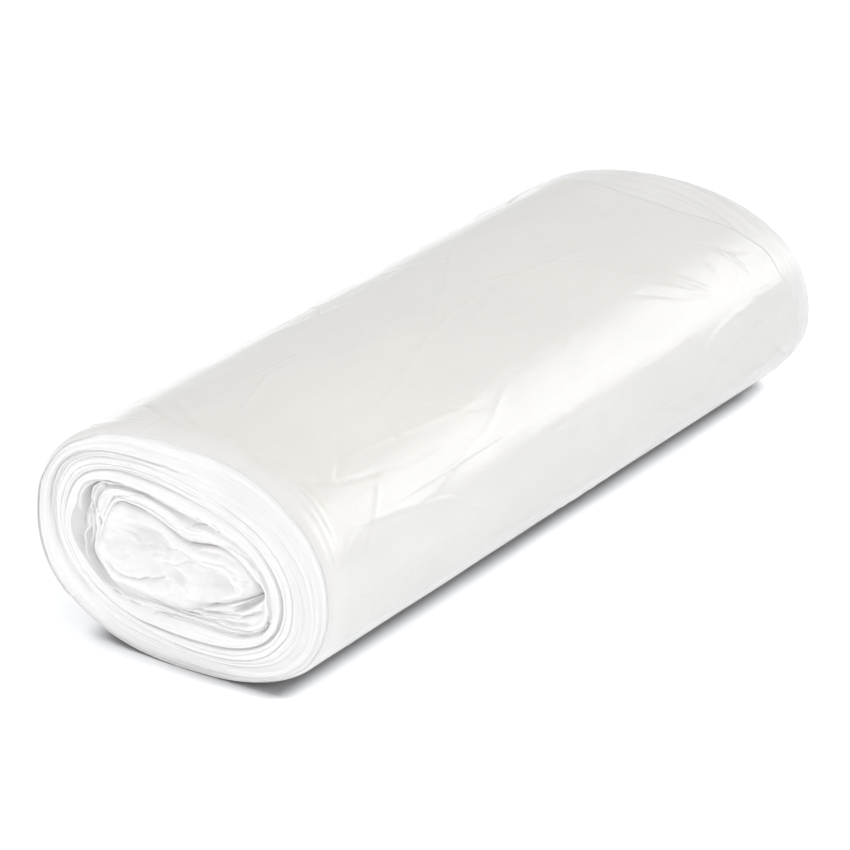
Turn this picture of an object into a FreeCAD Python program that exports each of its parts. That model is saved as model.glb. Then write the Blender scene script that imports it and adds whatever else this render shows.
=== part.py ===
import FreeCAD, Part
import math
import os

# A coreless roll of folded plastic-film bin bags, squashed to an oval by its own
# weight and lying on its flattened underside.
# Frame: +X along the roll from the near end to the far end, +Z up.
# Origin: centre of the bounding box in X and Y, on the surface that the roll rests on.
# All the turns are one wound body, so the roll is one solid: its section, its rolled
# rims, the wound turn edges at both ends, the open gaps in the loose middle and the
# soft puffed heart of the first bag are all cut or raised on that one body.

# ---- driving dimensions (mm) ------------------------------------------------------
LENGTH = 280.0          # folded bag width, with the turns' small sideways scatter
WIDTH = 108.4           # across the squashed section
HEIGHT = 73.5           # top to the flat underside
BELLY_Z = 34.6          # height of the widest point
TOP_POWER = 2.25        # roundness of the upper half (2 is an ellipse)
LOW_POWER = 2.27        # roundness of the lower half
LEAN = 0.045            # sideways lean of the section, mm per mm of height
FLAT_PRESS = 1.0        # how far the section would reach below the flat underside
NEAR_RIM_R = 4.4        # rolled rim of the outer turns, near end
FAR_RIM_R = 11.5        # softer shoulder at the far end
FAR_TILT_Y = -5.4 / 60  # the far turns crept sideways: slope of that end in Y
FAR_TILT_Z = -5.7 / 40  # and in Z
GROOVE_W = 0.42         # gap between neighbouring bundles of turns
GROOVE_DEPTH = 2.6
TAIL_STEP = 0.6         # step where the last bag ends, low on the back
TAIL_ANGLE = 322.0      # where round the section that is, degrees from +Y over the top
TAIL_SPAN = 34.0        # how soon the step fades out, degrees
STEP_TO = 262.0         # where each turn edge has stepped in to the next turn, degrees
STEP_SPAN = 80.0        # over how many degrees it steps in
WRAP_STEP = 0.5         # the outermost turn stands this proud of the turns under it
# where the outermost turn's far edge runs, (X, Z): it sits back from the inner turns
WRAP_EDGE = [(128.6, -6), (128.6, 8), (128, 24), (126, 38), (123, 48), (120, 56.5), (115.5, 63),
             (108.5, 69), (103.5, 72.5), (97, 78)]
POLE = (0.0, 33.5)      # all turn outlines are seen from this point (Y, Z)
SY = WIDTH / 2          # the angle round the roll is taken on a circle squashed
SZ = HEIGHT / 2         # by these two half sizes

# ---- outlines of the turns at the near end, (Y, Z) in mm, outermost first ----------
K1 = [(-47.3, 30), (-47, 34), (-46, 38.5), (-44.4, 42.6), (-42, 46.6), (-39, 50.2), (-35, 54.2),
      (-30, 57.6), (-24, 60.2), (-16, 62.2), (-8, 63.4), (0, 64), (10, 64.4), (20, 64.1), (28, 62.9),
      (34, 61.2), (39, 58.5), (43, 54.6), (45.8, 49.2), (47, 44), (47.2, 39), (46.7, 34.5),
      (45.2, 29.6), (42.2, 24), (37.5, 18.6), (31, 13.6), (23, 9.6), (13, 7), (0, 5.6), (-12, 5.2),
      (-22, 5.9), (-31, 8), (-37, 10.9), (-42, 15.4), (-45.4, 20.6), (-46.9, 25.4)]
K2 = [(-41.8, 31), (-41.5, 35), (-40.4, 39), (-38, 43.4), (-35, 47.2), (-31, 50.8), (-26, 53.6),
      (-20, 56.4), (-13, 58.8), (-5, 60.9), (4, 62.3), (12, 62.9), (20, 62.4), (28, 61.2), (34, 59),
      (38.4, 56), (41.4, 52), (43.5, 47.8), (44.4, 43.6), (44.5, 39.5), (43.9, 35), (42.6, 30.6),
      (40.2, 26), (36.5, 21.6), (31, 17), (24, 13.2), (15, 10.2), (4, 8.2), (-8, 7.2), (-18, 7.9),
      (-26, 10), (-32, 13.2), (-36.4, 17.2), (-39.6, 21.8), (-41.3, 26.4)]
K3 = [(-38.1, 31), (-37.6, 35), (-36, 39), (-33.5, 42.8), (-30, 46.5), (-25, 50), (-19, 52.8),
      (-12, 54.9), (-4, 56.5), (4, 57.8), (12, 58.6), (20, 58.7), (27, 57.5), (33, 54.8), (37, 51),
      (39.3, 46.6), (40.6, 42), (40.9, 37.5), (40.1, 33), (38, 28.2), (34.8, 23.6), (30, 19.2),
      (24, 15.4), (16, 12.4), (7, 11.2), (-2, 10.8), (-11, 10.9), (-19, 11.8), (-26, 14),
      (-31.5, 17.2), (-35, 21), (-37.2, 25.4)]
K4 = [(-34.8, 30), (-34.4, 33.6), (-33.2, 36.8), (-31, 40.2), (-28, 43.5), (-24, 46.2), (-19, 48.2),
      (-13, 49.7), (-6, 50.9), (2, 52.3), (9, 53.6), (16, 54.5), (23, 54.7), (29, 53.8), (33, 51.8),
      (35, 48.6), (36, 45), (37.6, 41.6), (38.6, 38), (38, 34), (36, 30), (33, 26.2), (29, 22.6),
      (24, 19.5), (16, 17.6), (8, 16.7), (0, 16.6), (-10, 16.2), (-20, 16.3), (-26, 17.6),
      (-31, 20.4), (-33.6, 24), (-34.7, 27.5)]
K5 = [(-32.2, 31), (-32, 34), (-30.5, 37.6), (-27.5, 41), (-23, 44.4), (-17, 46.7), (-11, 48),
      (-7, 47.4), (-3, 48.6), (2, 50.8), (8, 52.4), (14, 53.1), (20, 52.8), (25, 51.2), (28.4, 48),
      (30.2, 44), (31, 40), (30.9, 36.4), (31.6, 33), (32.4, 30), (31.2, 27), (28, 23.9), (23, 21),
      (16, 19.6), (8, 18.9), (0, 18.2), (-10, 18), (-20, 18.2), (-27, 19.6), (-31, 22.6),
      (-32.6, 26.8)]
K6 = [(-30.2, 33.2), (-29.4, 35.2), (-27, 37.8), (-24, 40.4), (-20, 42.7), (-16, 43.8), (-11, 43.2),
      (-7, 42.5), (-3, 42.8), (0, 43.9), (4, 45.7), (9, 47.6), (14, 48.5), (19, 48.8), (21.6, 47.8),
      (23.6, 45.4), (25.6, 41.4), (27.6, 37), (29.2, 33.6), (29, 31.2), (27.2, 28), (24, 25),
      (20, 23), (14, 21.5), (8, 20.5), (0, 20), (-5, 20.8), (-9, 22.7), (-12, 24), (-16, 25.2),
      (-21, 27.3), (-25, 29.2), (-29, 31.6)]


def squash_angle(y, z):
    return math.atan2((z - POLE[1]) / SZ, (y - POLE[0]) / SY) % (2 * math.pi)


def squash_radius(y, z):
    return math.hypot((z - POLE[1]) / SZ, (y - POLE[0]) / SY)


class Outline:
    """A closed outline as a radius round the pole, smooth between its points."""

    def __init__(self, points):
        rows = sorted((squash_angle(y, z), squash_radius(y, z)) for y, z in points)
        self.a = [r[0] for r in rows]
        self.r = [r[1] for r in rows]
        n = len(rows)
        self.m = []
        for i in range(n):
            a0, a1 = self.a[i - 1], self.a[(i + 1) % n]
            if a0 > self.a[i]:
                a0 -= 2 * math.pi
            if a1 < self.a[i]:
                a1 += 2 * math.pi
            self.m.append((self.r[(i + 1) % n] - self.r[i - 1]) / (a1 - a0))

    def __call__(self, angle):
        angle %= 2 * math.pi
        n = len(self.a)
        i = n - 1
        for k in range(n):
            if self.a[k] > angle:
                i = k - 1
                break
        a0, a1 = self.a[i], self.a[(i + 1) % n]
        if i < 0 or i == n - 1:
            a0, a1 = self.a[n - 1], self.a[0] + 2 * math.pi
            if angle < self.a[0]:
                angle += 2 * math.pi
            i = n - 1
        h = a1 - a0
        t = (angle - a0) / h
        j = (i + 1) % n
        return ((2 * t ** 3 - 3 * t ** 2 + 1) * self.r[i] + (t ** 3 - 2 * t ** 2 + t) * h * self.m[i]
                + (-2 * t ** 3 + 3 * t ** 2) * self.r[j] + (t ** 3 - t ** 2) * h * self.m[j])


def section_points(inset=0.0, count=96):
    """The roll's outer section, before the flat underside and the last bag's step."""
    points = []
    for k in range(count):
        t = 2 * math.pi * k / count
        c, s = math.cos(t), math.sin(t)
        power = TOP_POWER if s >= 0 else LOW_POWER
        up = HEIGHT - BELLY_Z if s >= 0 else BELLY_Z + FLAT_PRESS
        y = (WIDTH / 2 - inset) * math.copysign(abs(c) ** (2 / power), c)
        z = (up - inset) * math.copysign(abs(s) ** (2 / power), s)
        points.append((y + LEAN * z, BELLY_Z + z))
    return points


K0 = section_points(0.0, 120)
LEVELS = [Outline(k) for k in (K0, K1, K2, K3, K4, K5, K6)]


def turn(level, angle):
    """The point (Y, Z) at this level (0 outer skin, 6 heart) and angle."""
    low = max(0, min(len(LEVELS) - 2, int(math.floor(level))))
    share = level - low
    r = LEVELS[low](angle) * (1 - share) + LEVELS[low + 1](angle) * share
    return POLE[0] + SY * r * math.cos(angle), POLE[1] + SZ * r * math.sin(angle)


def far_turn(level, angle):
    """Plainer nested ovals for the far end: level 0 skin to level 6 heart."""
    r = LEVELS[0](angle) * (1 - 0.128 * level)
    wave = 0.010 * level * math.sin(2 * angle + 0.6) + 0.006 * level * math.sin(3 * angle + 2.0)
    r += wave
    return POLE[0] + SY * r * math.cos(angle), POLE[1] + SZ * r * math.sin(angle)


def smooth(t):
    t = max(0.0, min(1.0, t))
    return t * t * (3 - 2 * t)


def near_x(y, z):
    return -LENGTH / 2


def far_x(y, z):
    return LENGTH / 2 + FAR_TILT_Y * y + FAR_TILT_Z * (z - HEIGHT / 2)


def closed_wire(points, plane):
    curve = Part.BSplineCurve()
    curve.interpolate(Points=[FreeCAD.Vector(plane(y, z), y, z) for y, z in points], PeriodicFlag=True)
    return Part.Wire([curve.toShape()])


def band_face(inner, outer, plane):
    """A flat band between two open lines of (Y, Z) points, closed at its ends."""
    a = Part.BSplineCurve()
    a.interpolate(Points=[FreeCAD.Vector(plane(y, z), y, z) for y, z in inner])
    b = Part.BSplineCurve()
    b.interpolate(Points=[FreeCAD.Vector(plane(y, z), y, z) for y, z in outer])
    pa, pb = inner[0], outer[0]
    qa, qb = inner[-1], outer[-1]
    first = Part.LineSegment(FreeCAD.Vector(plane(*pb), *pb), FreeCAD.Vector(plane(*pa), *pa)).toShape()
    last = Part.LineSegment(FreeCAD.Vector(plane(*qa), *qa), FreeCAD.Vector(plane(*qb), *qb)).toShape()
    wire = Part.Wire([first, a.toShape(), last, b.toShape()])
    return Part.Face(wire)


def band(centre, width, start, end, shape_of, steps):
    """Two lines, width apart, that follow shape_of(level, angle) from start to end degrees."""
    spine = []
    for k in range(steps + 1):
        deg = start + (end - start) * k / steps
        spine.append(shape_of(centre(deg), math.radians(deg)))
    inner, outer = [], []
    for k, (y, z) in enumerate(spine):
        y0, z0 = spine[max(0, k - 1)]
        y1, z1 = spine[min(steps, k + 1)]
        d = math.hypot(y1 - y0, z1 - z0)
        ny, nz = -(z1 - z0) / d, (y1 - y0) / d
        deg = start + (end - start) * k / steps
        half = width(deg) / 2
        inner.append((y + ny * half, z + nz * half))
        outer.append((y - ny * half, z - nz * half))
    return inner, outer


def cut_band(body, inner, outer, plane, depth, way):
    """Cuts the band into an end: way is -1 for the near end and +1 for the far end."""
    face = band_face(inner, outer, lambda y, z: plane(y, z) - way * depth)
    tool = face.extrude(FreeCAD.Vector(way * (depth + 25), 0, 0))
    done = body.cut(tool)
    return done


# ---- the wound body ---------------------------------------------------------------
near_wire = closed_wire(section_points(0.0), near_x)
far_wire = closed_wire(section_points(0.0), far_x)
body = Part.makeLoft([near_wire, far_wire], True, True)
print("body", body.isValid(), round(body.Volume))

# the rolled rims
near_edges = [e for e in body.Edges if e.BoundBox.XMax < -LENGTH / 2 + 0.5]
far_edges = [e for e in body.Edges if e.BoundBox.XMin > LENGTH / 2 - 20]
body = body.makeFillet(NEAR_RIM_R, near_edges)
far_edges = [e for e in body.Edges if e.BoundBox.XMin > LENGTH / 2 - 20]
body = body.makeFillet(FAR_RIM_R, far_edges)
print("rims", body.isValid(), round(body.Volume))

# the flat that the roll's weight presses into its underside
slab = Part.makeBox(2 * LENGTH, 2 * WIDTH, 20, FreeCAD.Vector(-LENGTH, -WIDTH, -20))
body = body.cut(slab)
print("flat", body.isValid(), round(body.Volume))

# the last bag ends low on the back, as a shallow step that fades out round the underside
inner, outer = [], []
for k in range(13):
    share = k / 12
    y, z = turn(0.0, math.radians(TAIL_ANGLE - TAIL_SPAN * share))
    r = math.hypot(y - POLE[0], z - POLE[1])
    inset = TAIL_STEP * (1 - share) - 0.12 * share
    for line, gap in ((inner, -inset), (outer, 5.0)):
        line.append((POLE[0] + (y - POLE[0]) * (1 + gap / r), POLE[1] + (z - POLE[1]) * (1 + gap / r)))
tail = band_face(inner, outer, lambda y, z: -LENGTH).extrude(FreeCAD.Vector(2 * LENGTH, 0, 0))
body = body.cut(tail)
print("tail", body.isValid(), round(body.Volume), len(body.Solids))

# beyond its far edge the outermost turn is missing, and the turns under it show
curve = Part.BSplineCurve()
curve.interpolate(Points=[FreeCAD.Vector(x, -WIDTH, z) for x, z in WRAP_EDGE])
corners = [FreeCAD.Vector(x, -WIDTH, z) for x, z in
           (WRAP_EDGE[-1], (LENGTH, 78), (LENGTH, -6), WRAP_EDGE[0])]
sides = [Part.LineSegment(a, b).toShape() for a, b in zip(corners, corners[1:])]
beyond = Part.Face(Part.Wire([curve.toShape()] + sides)).extrude(FreeCAD.Vector(0, 2 * WIDTH, 0))
under = Part.Face(closed_wire(section_points(WRAP_STEP), lambda y, z: 70.0))
beyond = beyond.cut(under.extrude(FreeCAD.Vector(LENGTH, 0, 0)))
body = body.cut(beyond)
print("wrap edge", body.isValid(), round(body.Volume), len(body.Solids))

# ---- turn edges at the near end ----------------------------------------------------
# one continuous groove winds inwards; each turn sits at its own level and the groove
# steps in to the next turn at the lower back
NEAR_TURNS = [0.60, 1.0, 1.42, 2.0, 2.46, 3.0, 3.52]


def winding(turns, degrees):
    """The level after so many degrees, counted from STEP_TO: flat, then a step inwards."""
    k = int(math.floor(degrees / 360.0))
    rest = degrees - 360.0 * k
    a = turns[min(k, len(turns) - 1)]
    b = turns[min(k + 1, len(turns) - 1)]
    return a + (b - a) * smooth((rest - (360.0 - STEP_SPAN)) / STEP_SPAN)


def near_level(deg):
    return winding(NEAR_TURNS, deg - STEP_TO)


def groove_width(first, last, full):
    def width(deg):
        ends = min((deg - first) / 14.0, (last - deg) / 14.0)
        return 0.06 + (full - 0.06) * smooth(ends)
    return width


start = STEP_TO
stop = STEP_TO + 360.0 * (len(NEAR_TURNS) - 1) + 250.0
inner, outer = band(near_level, groove_width(start, stop, GROOVE_W), start, stop, turn,
                    int((stop - start) / 6))
body = cut_band(body, inner, outer, near_x, GROOVE_DEPTH, -1)
print("near groove", body.isValid(), round(body.Volume), len(body.Solids))

# ---- the loose middle at the near end ------------------------------------------------
# deep open gap on the left, between the tight turns and the first bags
def gap_left_width(deg):
    return 0.7 + 3.6 * math.exp(-((deg - 24.0) / 17.0) ** 2) + 0.9 * math.exp(-((deg - 2.0) / 9.0) ** 2)


def gap_left_level(deg):
    return 4.46 + 0.05 * math.sin(math.radians(3 * deg))


inner, outer = band(gap_left_level, gap_left_width, -8.0, 108.0, turn, 34)
body = cut_band(body, inner, outer, near_x, 13.0, -1)
print("gap left", body.isValid(), round(body.Volume), len(body.Solids))


# gap on the right, under the heart's end
def gap_right_width(deg):
    return 0.7 + 1.9 * math.exp(-((deg - 196.0) / 13.0) ** 2)


inner, outer = band(lambda d: 5.62 + 0.10 * math.cos(math.radians(2 * (d - 196))), gap_right_width,
                    172.0, 232.0, turn, 24)
body = cut_band(body, inner, outer, near_x, 11.0, -1)
print("gap right", body.isValid(), round(body.Volume), len(body.Solids))

# the seam over the top of the heart and the one under it
inner, outer = band(lambda d: 5.86, groove_width(30.0, 166.0, 0.6), 30.0, 166.0, turn, 40)
body = cut_band(body, inner, outer, near_x, 6.0, -1)
inner, outer = band(lambda d: 5.5, groove_width(238.0, 330.0, 0.6), 238.0, 330.0, turn, 30)
body = cut_band(body, inner, outer, near_x, 5.0, -1)
inner, outer = band(lambda d: 4.5, groove_width(214.0, 318.0, 0.45), 214.0, 318.0, turn, 30)
body = cut_band(body, inner, outer, near_x, 3.5, -1)
print("seams", body.isValid(), round(body.Volume), len(body.Solids))

# the puffed heart: the folded end of the first bag swells out past the turns
rings = []
for size, out in ((0.93, -2.0), (0.90, 0.0), (0.80, 1.7), (0.60, 2.9), (0.36, 3.5), (0.14, 3.7)):
    ring = []
    for k in range(40):
        a = 2 * math.pi * k / 40
        r = LEVELS[6](a) * size
        ring.append((POLE[0] + SY * r * math.cos(a) - 0.5, POLE[1] + SZ * r * math.sin(a)))
    rings.append(closed_wire(ring, lambda y, z, out=out: -LENGTH / 2 - out))
heart = Part.makeLoft(rings, True, False)
print("heart", heart.isValid(), round(heart.Volume))
body = body.fuse(heart)
print("with heart", body.isValid(), round(body.Volume), len(body.Solids))

# the deep fold across the heart
fold = [(27.0, 30.4), (20.0, 29.4), (14.0, 28.4), (8.0, 27.9), (2.0, 28.2), (-4.0, 28.2)]
low = [(y, z - (0.05 if k in (0, 5) else 0.3)) for k, (y, z) in enumerate(fold)]
high = [(y, z + (0.05 if k in (0, 5) else 0.3)) for k, (y, z) in enumerate(fold)]
body = cut_band(body, low, high, near_x, -0.4, -1)
print("fold", body.isValid(), round(body.Volume), len(body.Solids))

# ---- turn edges at the far end -------------------------------------------------------
FAR_TURNS = [1.25, 1.9, 2.5, 3.1, 3.75, 4.4]
far_stop = STEP_TO + 360.0 * (len(FAR_TURNS) - 1) + 250.0
inner, outer = band(lambda d: winding(FAR_TURNS, d - STEP_TO), groove_width(start, far_stop, GROOVE_W),
                    start, far_stop, far_turn, int((far_stop - start) / 6))
body = cut_band(body, inner, outer, far_x, GROOVE_DEPTH, 1)
print("far groove", body.isValid(), round(body.Volume), len(body.Solids))

# the slit where the first bag was folded round the winding spindle
slit = [(20.0, 35.2), (12.0, 36.6), (3.0, 36.2), (-6.0, 34.6), (-14.0, 33.8), (-21.0, 34.4)]
low = [(y, z - (0.1, 0.9, 1.5, 1.6, 1.0, 0.1)[k]) for k, (y, z) in enumerate(slit)]
high = [(y, z + (0.1, 0.9, 1.4, 1.5, 0.9, 0.1)[k]) for k, (y, z) in enumerate(slit)]
body = cut_band(body, low, high, far_x, 12.0, 1)
print("far slit", body.isValid(), round(body.Volume), len(body.Solids))

# ---- place it: centre of the box over the origin, underside on Z 0 -------------------
solid = max(body.Solids, key=lambda s: s.Volume)
print("solids", [round(s.Volume, 2) for s in body.Solids])


def box_of(shape):
    points, _ = shape.tessellate(0.05)
    return [f(getattr(p, axis) for p in points) for axis in "xyz" for f in (min, max)]


box = box_of(solid)
print("box before", [round(v, 3) for v in box])
solid.translate(FreeCAD.Vector(-(box[0] + box[1]) / 2, -(box[2] + box[3]) / 2, 0))
print("box", [round(v, 3) for v in box_of(solid)])
print("volume cm3", round(solid.Volume / 1000, 2), "valid", solid.isValid(), "closed", solid.isClosed())

os.makedirs("parts", exist_ok=True)
solid.exportStep("parts/bag_roll.step")
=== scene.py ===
import math

import bpy
import numpy as np
from mathutils import Matrix, Vector


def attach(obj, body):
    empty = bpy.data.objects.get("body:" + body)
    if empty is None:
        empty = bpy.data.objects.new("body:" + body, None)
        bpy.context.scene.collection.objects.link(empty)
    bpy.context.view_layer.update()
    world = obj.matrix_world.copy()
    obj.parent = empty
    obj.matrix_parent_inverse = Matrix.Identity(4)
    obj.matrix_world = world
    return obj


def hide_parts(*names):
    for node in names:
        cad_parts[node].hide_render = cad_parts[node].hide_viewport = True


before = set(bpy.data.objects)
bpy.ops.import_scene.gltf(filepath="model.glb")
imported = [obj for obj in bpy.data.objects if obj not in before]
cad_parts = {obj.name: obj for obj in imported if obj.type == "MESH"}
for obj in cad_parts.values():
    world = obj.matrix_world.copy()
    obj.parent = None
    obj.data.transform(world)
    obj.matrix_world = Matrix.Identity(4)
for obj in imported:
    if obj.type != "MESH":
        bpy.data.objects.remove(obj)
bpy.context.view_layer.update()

MM = 0.001
SHIFT = (-0.933, -0.004, 0.0)     # the shapes below are laid out in the part's own frame, in mm

# ------------------------------------------------------------------------------------
# the roll's section and the outlines of its turns, as in the part
# ------------------------------------------------------------------------------------
LENGTH, WIDTH, HEIGHT, BELLY_Z = 280.0, 108.4, 73.5, 34.6
TOP_POWER, LOW_POWER, LEAN, FLAT_PRESS = 2.25, 2.27, 0.045, 1.0
FAR_TILT_Y, FAR_TILT_Z = -5.4 / 60, -5.7 / 40
POLE_Z = 33.5
SY, SZ = WIDTH / 2, HEIGHT / 2

K1 = [(-47.3, 30), (-47, 34), (-46, 38.5), (-44.4, 42.6), (-42, 46.6), (-39, 50.2), (-35, 54.2),
      (-30, 57.6), (-24, 60.2), (-16, 62.2), (-8, 63.4), (0, 64), (10, 64.4), (20, 64.1), (28, 62.9),
      (34, 61.2), (39, 58.5), (43, 54.6), (45.8, 49.2), (47, 44), (47.2, 39), (46.7, 34.5),
      (45.2, 29.6), (42.2, 24), (37.5, 18.6), (31, 13.6), (23, 9.6), (13, 7), (0, 5.6), (-12, 5.2),
      (-22, 5.9), (-31, 8), (-37, 10.9), (-42, 15.4), (-45.4, 20.6), (-46.9, 25.4)]
K2 = [(-41.8, 31), (-41.5, 35), (-40.4, 39), (-38, 43.4), (-35, 47.2), (-31, 50.8), (-26, 53.6),
      (-20, 56.4), (-13, 58.8), (-5, 60.9), (4, 62.3), (12, 62.9), (20, 62.4), (28, 61.2), (34, 59),
      (38.4, 56), (41.4, 52), (43.5, 47.8), (44.4, 43.6), (44.5, 39.5), (43.9, 35), (42.6, 30.6),
      (40.2, 26), (36.5, 21.6), (31, 17), (24, 13.2), (15, 10.2), (4, 8.2), (-8, 7.2), (-18, 7.9),
      (-26, 10), (-32, 13.2), (-36.4, 17.2), (-39.6, 21.8), (-41.3, 26.4)]
K3 = [(-38.1, 31), (-37.6, 35), (-36, 39), (-33.5, 42.8), (-30, 46.5), (-25, 50), (-19, 52.8),
      (-12, 54.9), (-4, 56.5), (4, 57.8), (12, 58.6), (20, 58.7), (27, 57.5), (33, 54.8), (37, 51),
      (39.3, 46.6), (40.6, 42), (40.9, 37.5), (40.1, 33), (38, 28.2), (34.8, 23.6), (30, 19.2),
      (24, 15.4), (16, 12.4), (7, 11.2), (-2, 10.8), (-11, 10.9), (-19, 11.8), (-26, 14),
      (-31.5, 17.2), (-35, 21), (-37.2, 25.4)]
K4 = [(-34.8, 30), (-34.4, 33.6), (-33.2, 36.8), (-31, 40.2), (-28, 43.5), (-24, 46.2), (-19, 48.2),
      (-13, 49.7), (-6, 50.9), (2, 52.3), (9, 53.6), (16, 54.5), (23, 54.7), (29, 53.8), (33, 51.8),
      (35, 48.6), (36, 45), (37.6, 41.6), (38.6, 38), (38, 34), (36, 30), (33, 26.2), (29, 22.6),
      (24, 19.5), (16, 17.6), (8, 16.7), (0, 16.6), (-10, 16.2), (-20, 16.3), (-26, 17.6),
      (-31, 20.4), (-33.6, 24), (-34.7, 27.5)]
K5 = [(-32.2, 31), (-32, 34), (-30.5, 37.6), (-27.5, 41), (-23, 44.4), (-17, 46.7), (-11, 48),
      (-7, 47.4), (-3, 48.6), (2, 50.8), (8, 52.4), (14, 53.1), (20, 52.8), (25, 51.2), (28.4, 48),
      (30.2, 44), (31, 40), (30.9, 36.4), (31.6, 33), (32.4, 30), (31.2, 27), (28, 23.9), (23, 21),
      (16, 19.6), (8, 18.9), (0, 18.2), (-10, 18), (-20, 18.2), (-27, 19.6), (-31, 22.6),
      (-32.6, 26.8)]
K6 = [(-30.2, 33.2), (-29.4, 35.2), (-27, 37.8), (-24, 40.4), (-20, 42.7), (-16, 43.8), (-11, 43.2),
      (-7, 42.5), (-3, 42.8), (0, 43.9), (4, 45.7), (9, 47.6), (14, 48.5), (19, 48.8), (21.6, 47.8),
      (23.6, 45.4), (25.6, 41.4), (27.6, 37), (29.2, 33.6), (29, 31.2), (27.2, 28), (24, 25),
      (20, 23), (14, 21.5), (8, 20.5), (0, 20), (-5, 20.8), (-9, 22.7), (-12, 24), (-16, 25.2),
      (-21, 27.3), (-25, 29.2), (-29, 31.6)]

# where the outermost turn's far edge runs round the roll: (angle in degrees, X)
WRAP_EDGE = [(0, 125.0), (20, 121.5), (45, 113.5), (62, 109.5), (74, 106.5), (84, 103.5), (92, 102), (100, 101.8),
             (107, 103), (119, 108.5), (131, 115.5), (142, 119.5), (155, 122), (171, 125.5), (194, 128),
             (230, 128.6), (270, 128.6), (310, 128), (340, 127)]
TAIL_ANGLE, TAIL_SPAN, TAIL_STEP = 322.0, 34.0, 0.6


def smooth(t):
    t = np.clip(t, 0.0, 1.0)
    return t * t * (3 - 2 * t)


def wrap_deg(d):
    """Degrees brought into -180 .. 180."""
    return (np.asarray(d, float) + 180.0) % 360.0 - 180.0


def periodic(table, degrees):
    """Smooth periodic reading of (degrees, value) rows."""
    a = np.array([r[0] for r in table], float)
    v = np.array([r[1] for r in table], float)
    n = len(a)
    aa = np.concatenate([a[-2:] - 360, a, a[:2] + 360])
    vv = np.concatenate([v[-2:], v, v[:2]])
    m = np.gradient(vv, aa)
    d = np.asarray(degrees, float) % 360.0
    i = np.clip(np.searchsorted(aa, d, side="right") - 1, 0, len(aa) - 2)
    h = aa[i + 1] - aa[i]
    t = (d - aa[i]) / h
    return ((2 * t ** 3 - 3 * t ** 2 + 1) * vv[i] + (t ** 3 - 2 * t ** 2 + t) * h * m[i]
            + (-2 * t ** 3 + 3 * t ** 2) * vv[i + 1] + (t ** 3 - t ** 2) * h * m[i + 1])


def section(count, inset=0.0):
    t = np.linspace(0, 2 * math.pi, count, endpoint=False)
    c, s = np.cos(t), np.sin(t)
    power = np.where(s >= 0, TOP_POWER, LOW_POWER)
    up = np.where(s >= 0, HEIGHT - BELLY_Z, BELLY_Z + FLAT_PRESS)
    y = (WIDTH / 2 - inset) * np.sign(c) * np.abs(c) ** (2 / power)
    z = (up - inset) * np.sign(s) * np.abs(s) ** (2 / power)
    return list(zip(y + LEAN * z, BELLY_Z + z))


def outline(points):
    """An outline as (angle in degrees, squashed radius) rows, in order of angle."""
    rows = []
    for y, z in points:
        rows.append((math.degrees(math.atan2((z - POLE_Z) / SZ, y / SY)) % 360.0,
                     math.hypot((z - POLE_Z) / SZ, y / SY)))
    return sorted(rows)


LEVELS = [outline(k) for k in (section(240), K1, K2, K3, K4, K5, K6)]


def radii(degrees):
    """Rows of squashed radius: one row per level, the last the pole itself."""
    return np.array([periodic(k, degrees) for k in LEVELS] + [np.zeros_like(degrees)])


def at_level(table, level):
    """Radius at a fractional level; table is levels x angles, level broadcasts with angles."""
    level = np.clip(level, 0, table.shape[0] - 1.0001)
    low = np.floor(level).astype(int)
    share = level - low
    cols = np.broadcast_to(np.arange(table.shape[1]), level.shape)
    return table[low, cols] * (1 - share) + table[low + 1, cols] * share


# ------------------------------------------------------------------------------------
# seeded smooth noise
# ------------------------------------------------------------------------------------
class Noise:
    """Smooth seeded noise; with a period, it closes on itself along v."""

    def __init__(self, seed, size=256):
        rng = np.random.RandomState(seed)
        self.n = size
        self.g = rng.uniform(-1, 1, (size, size))

    def __call__(self, u, v, period=None):
        u, v = np.asarray(u, float), np.asarray(v, float)
        iu, iv = np.floor(u).astype(int), np.floor(v).astype(int)
        fu, fv = u - iu, v - iv
        fu, fv = fu * fu * (3 - 2 * fu), fv * fv * (3 - 2 * fv)
        n = self.n
        v0, v1 = (iv, iv + 1) if period is None else (iv % period, (iv + 1) % period)
        a, b = self.g[iu % n, v0 % n], self.g[(iu + 1) % n, v0 % n]
        c, d = self.g[iu % n, v1 % n], self.g[(iu + 1) % n, v1 % n]
        return (a * (1 - fu) + b * fu) * (1 - fv) + (c * (1 - fu) + d * fu) * fv


def fbm(noise, u, v, octaves=4, fall=0.5, period=None):
    total, size = 0.0, 1.0
    for k in range(octaves):
        total = total + size * noise(u * 2 ** k + 17.3 * k, v * 2 ** k, None if period is None else period * 2 ** k)
        size *= fall
    return total


def ridged(noise, u, v, octaves=3, period=None):
    total, size = 0.0, 1.0
    for k in range(octaves):
        total = total + size * (1 - np.abs(noise(u * 2 ** k + 5.7 * k, v * 2 ** k, None if period is None else period * 2 ** k)) * 2)
        size *= 0.5
    return total


def around(arc, girth, scale):
    """(v, period): the way round the roll in cells of about scale mm, closing on itself."""
    cells = max(3, int(round(girth / scale)))
    return arc / girth * cells, cells


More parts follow.
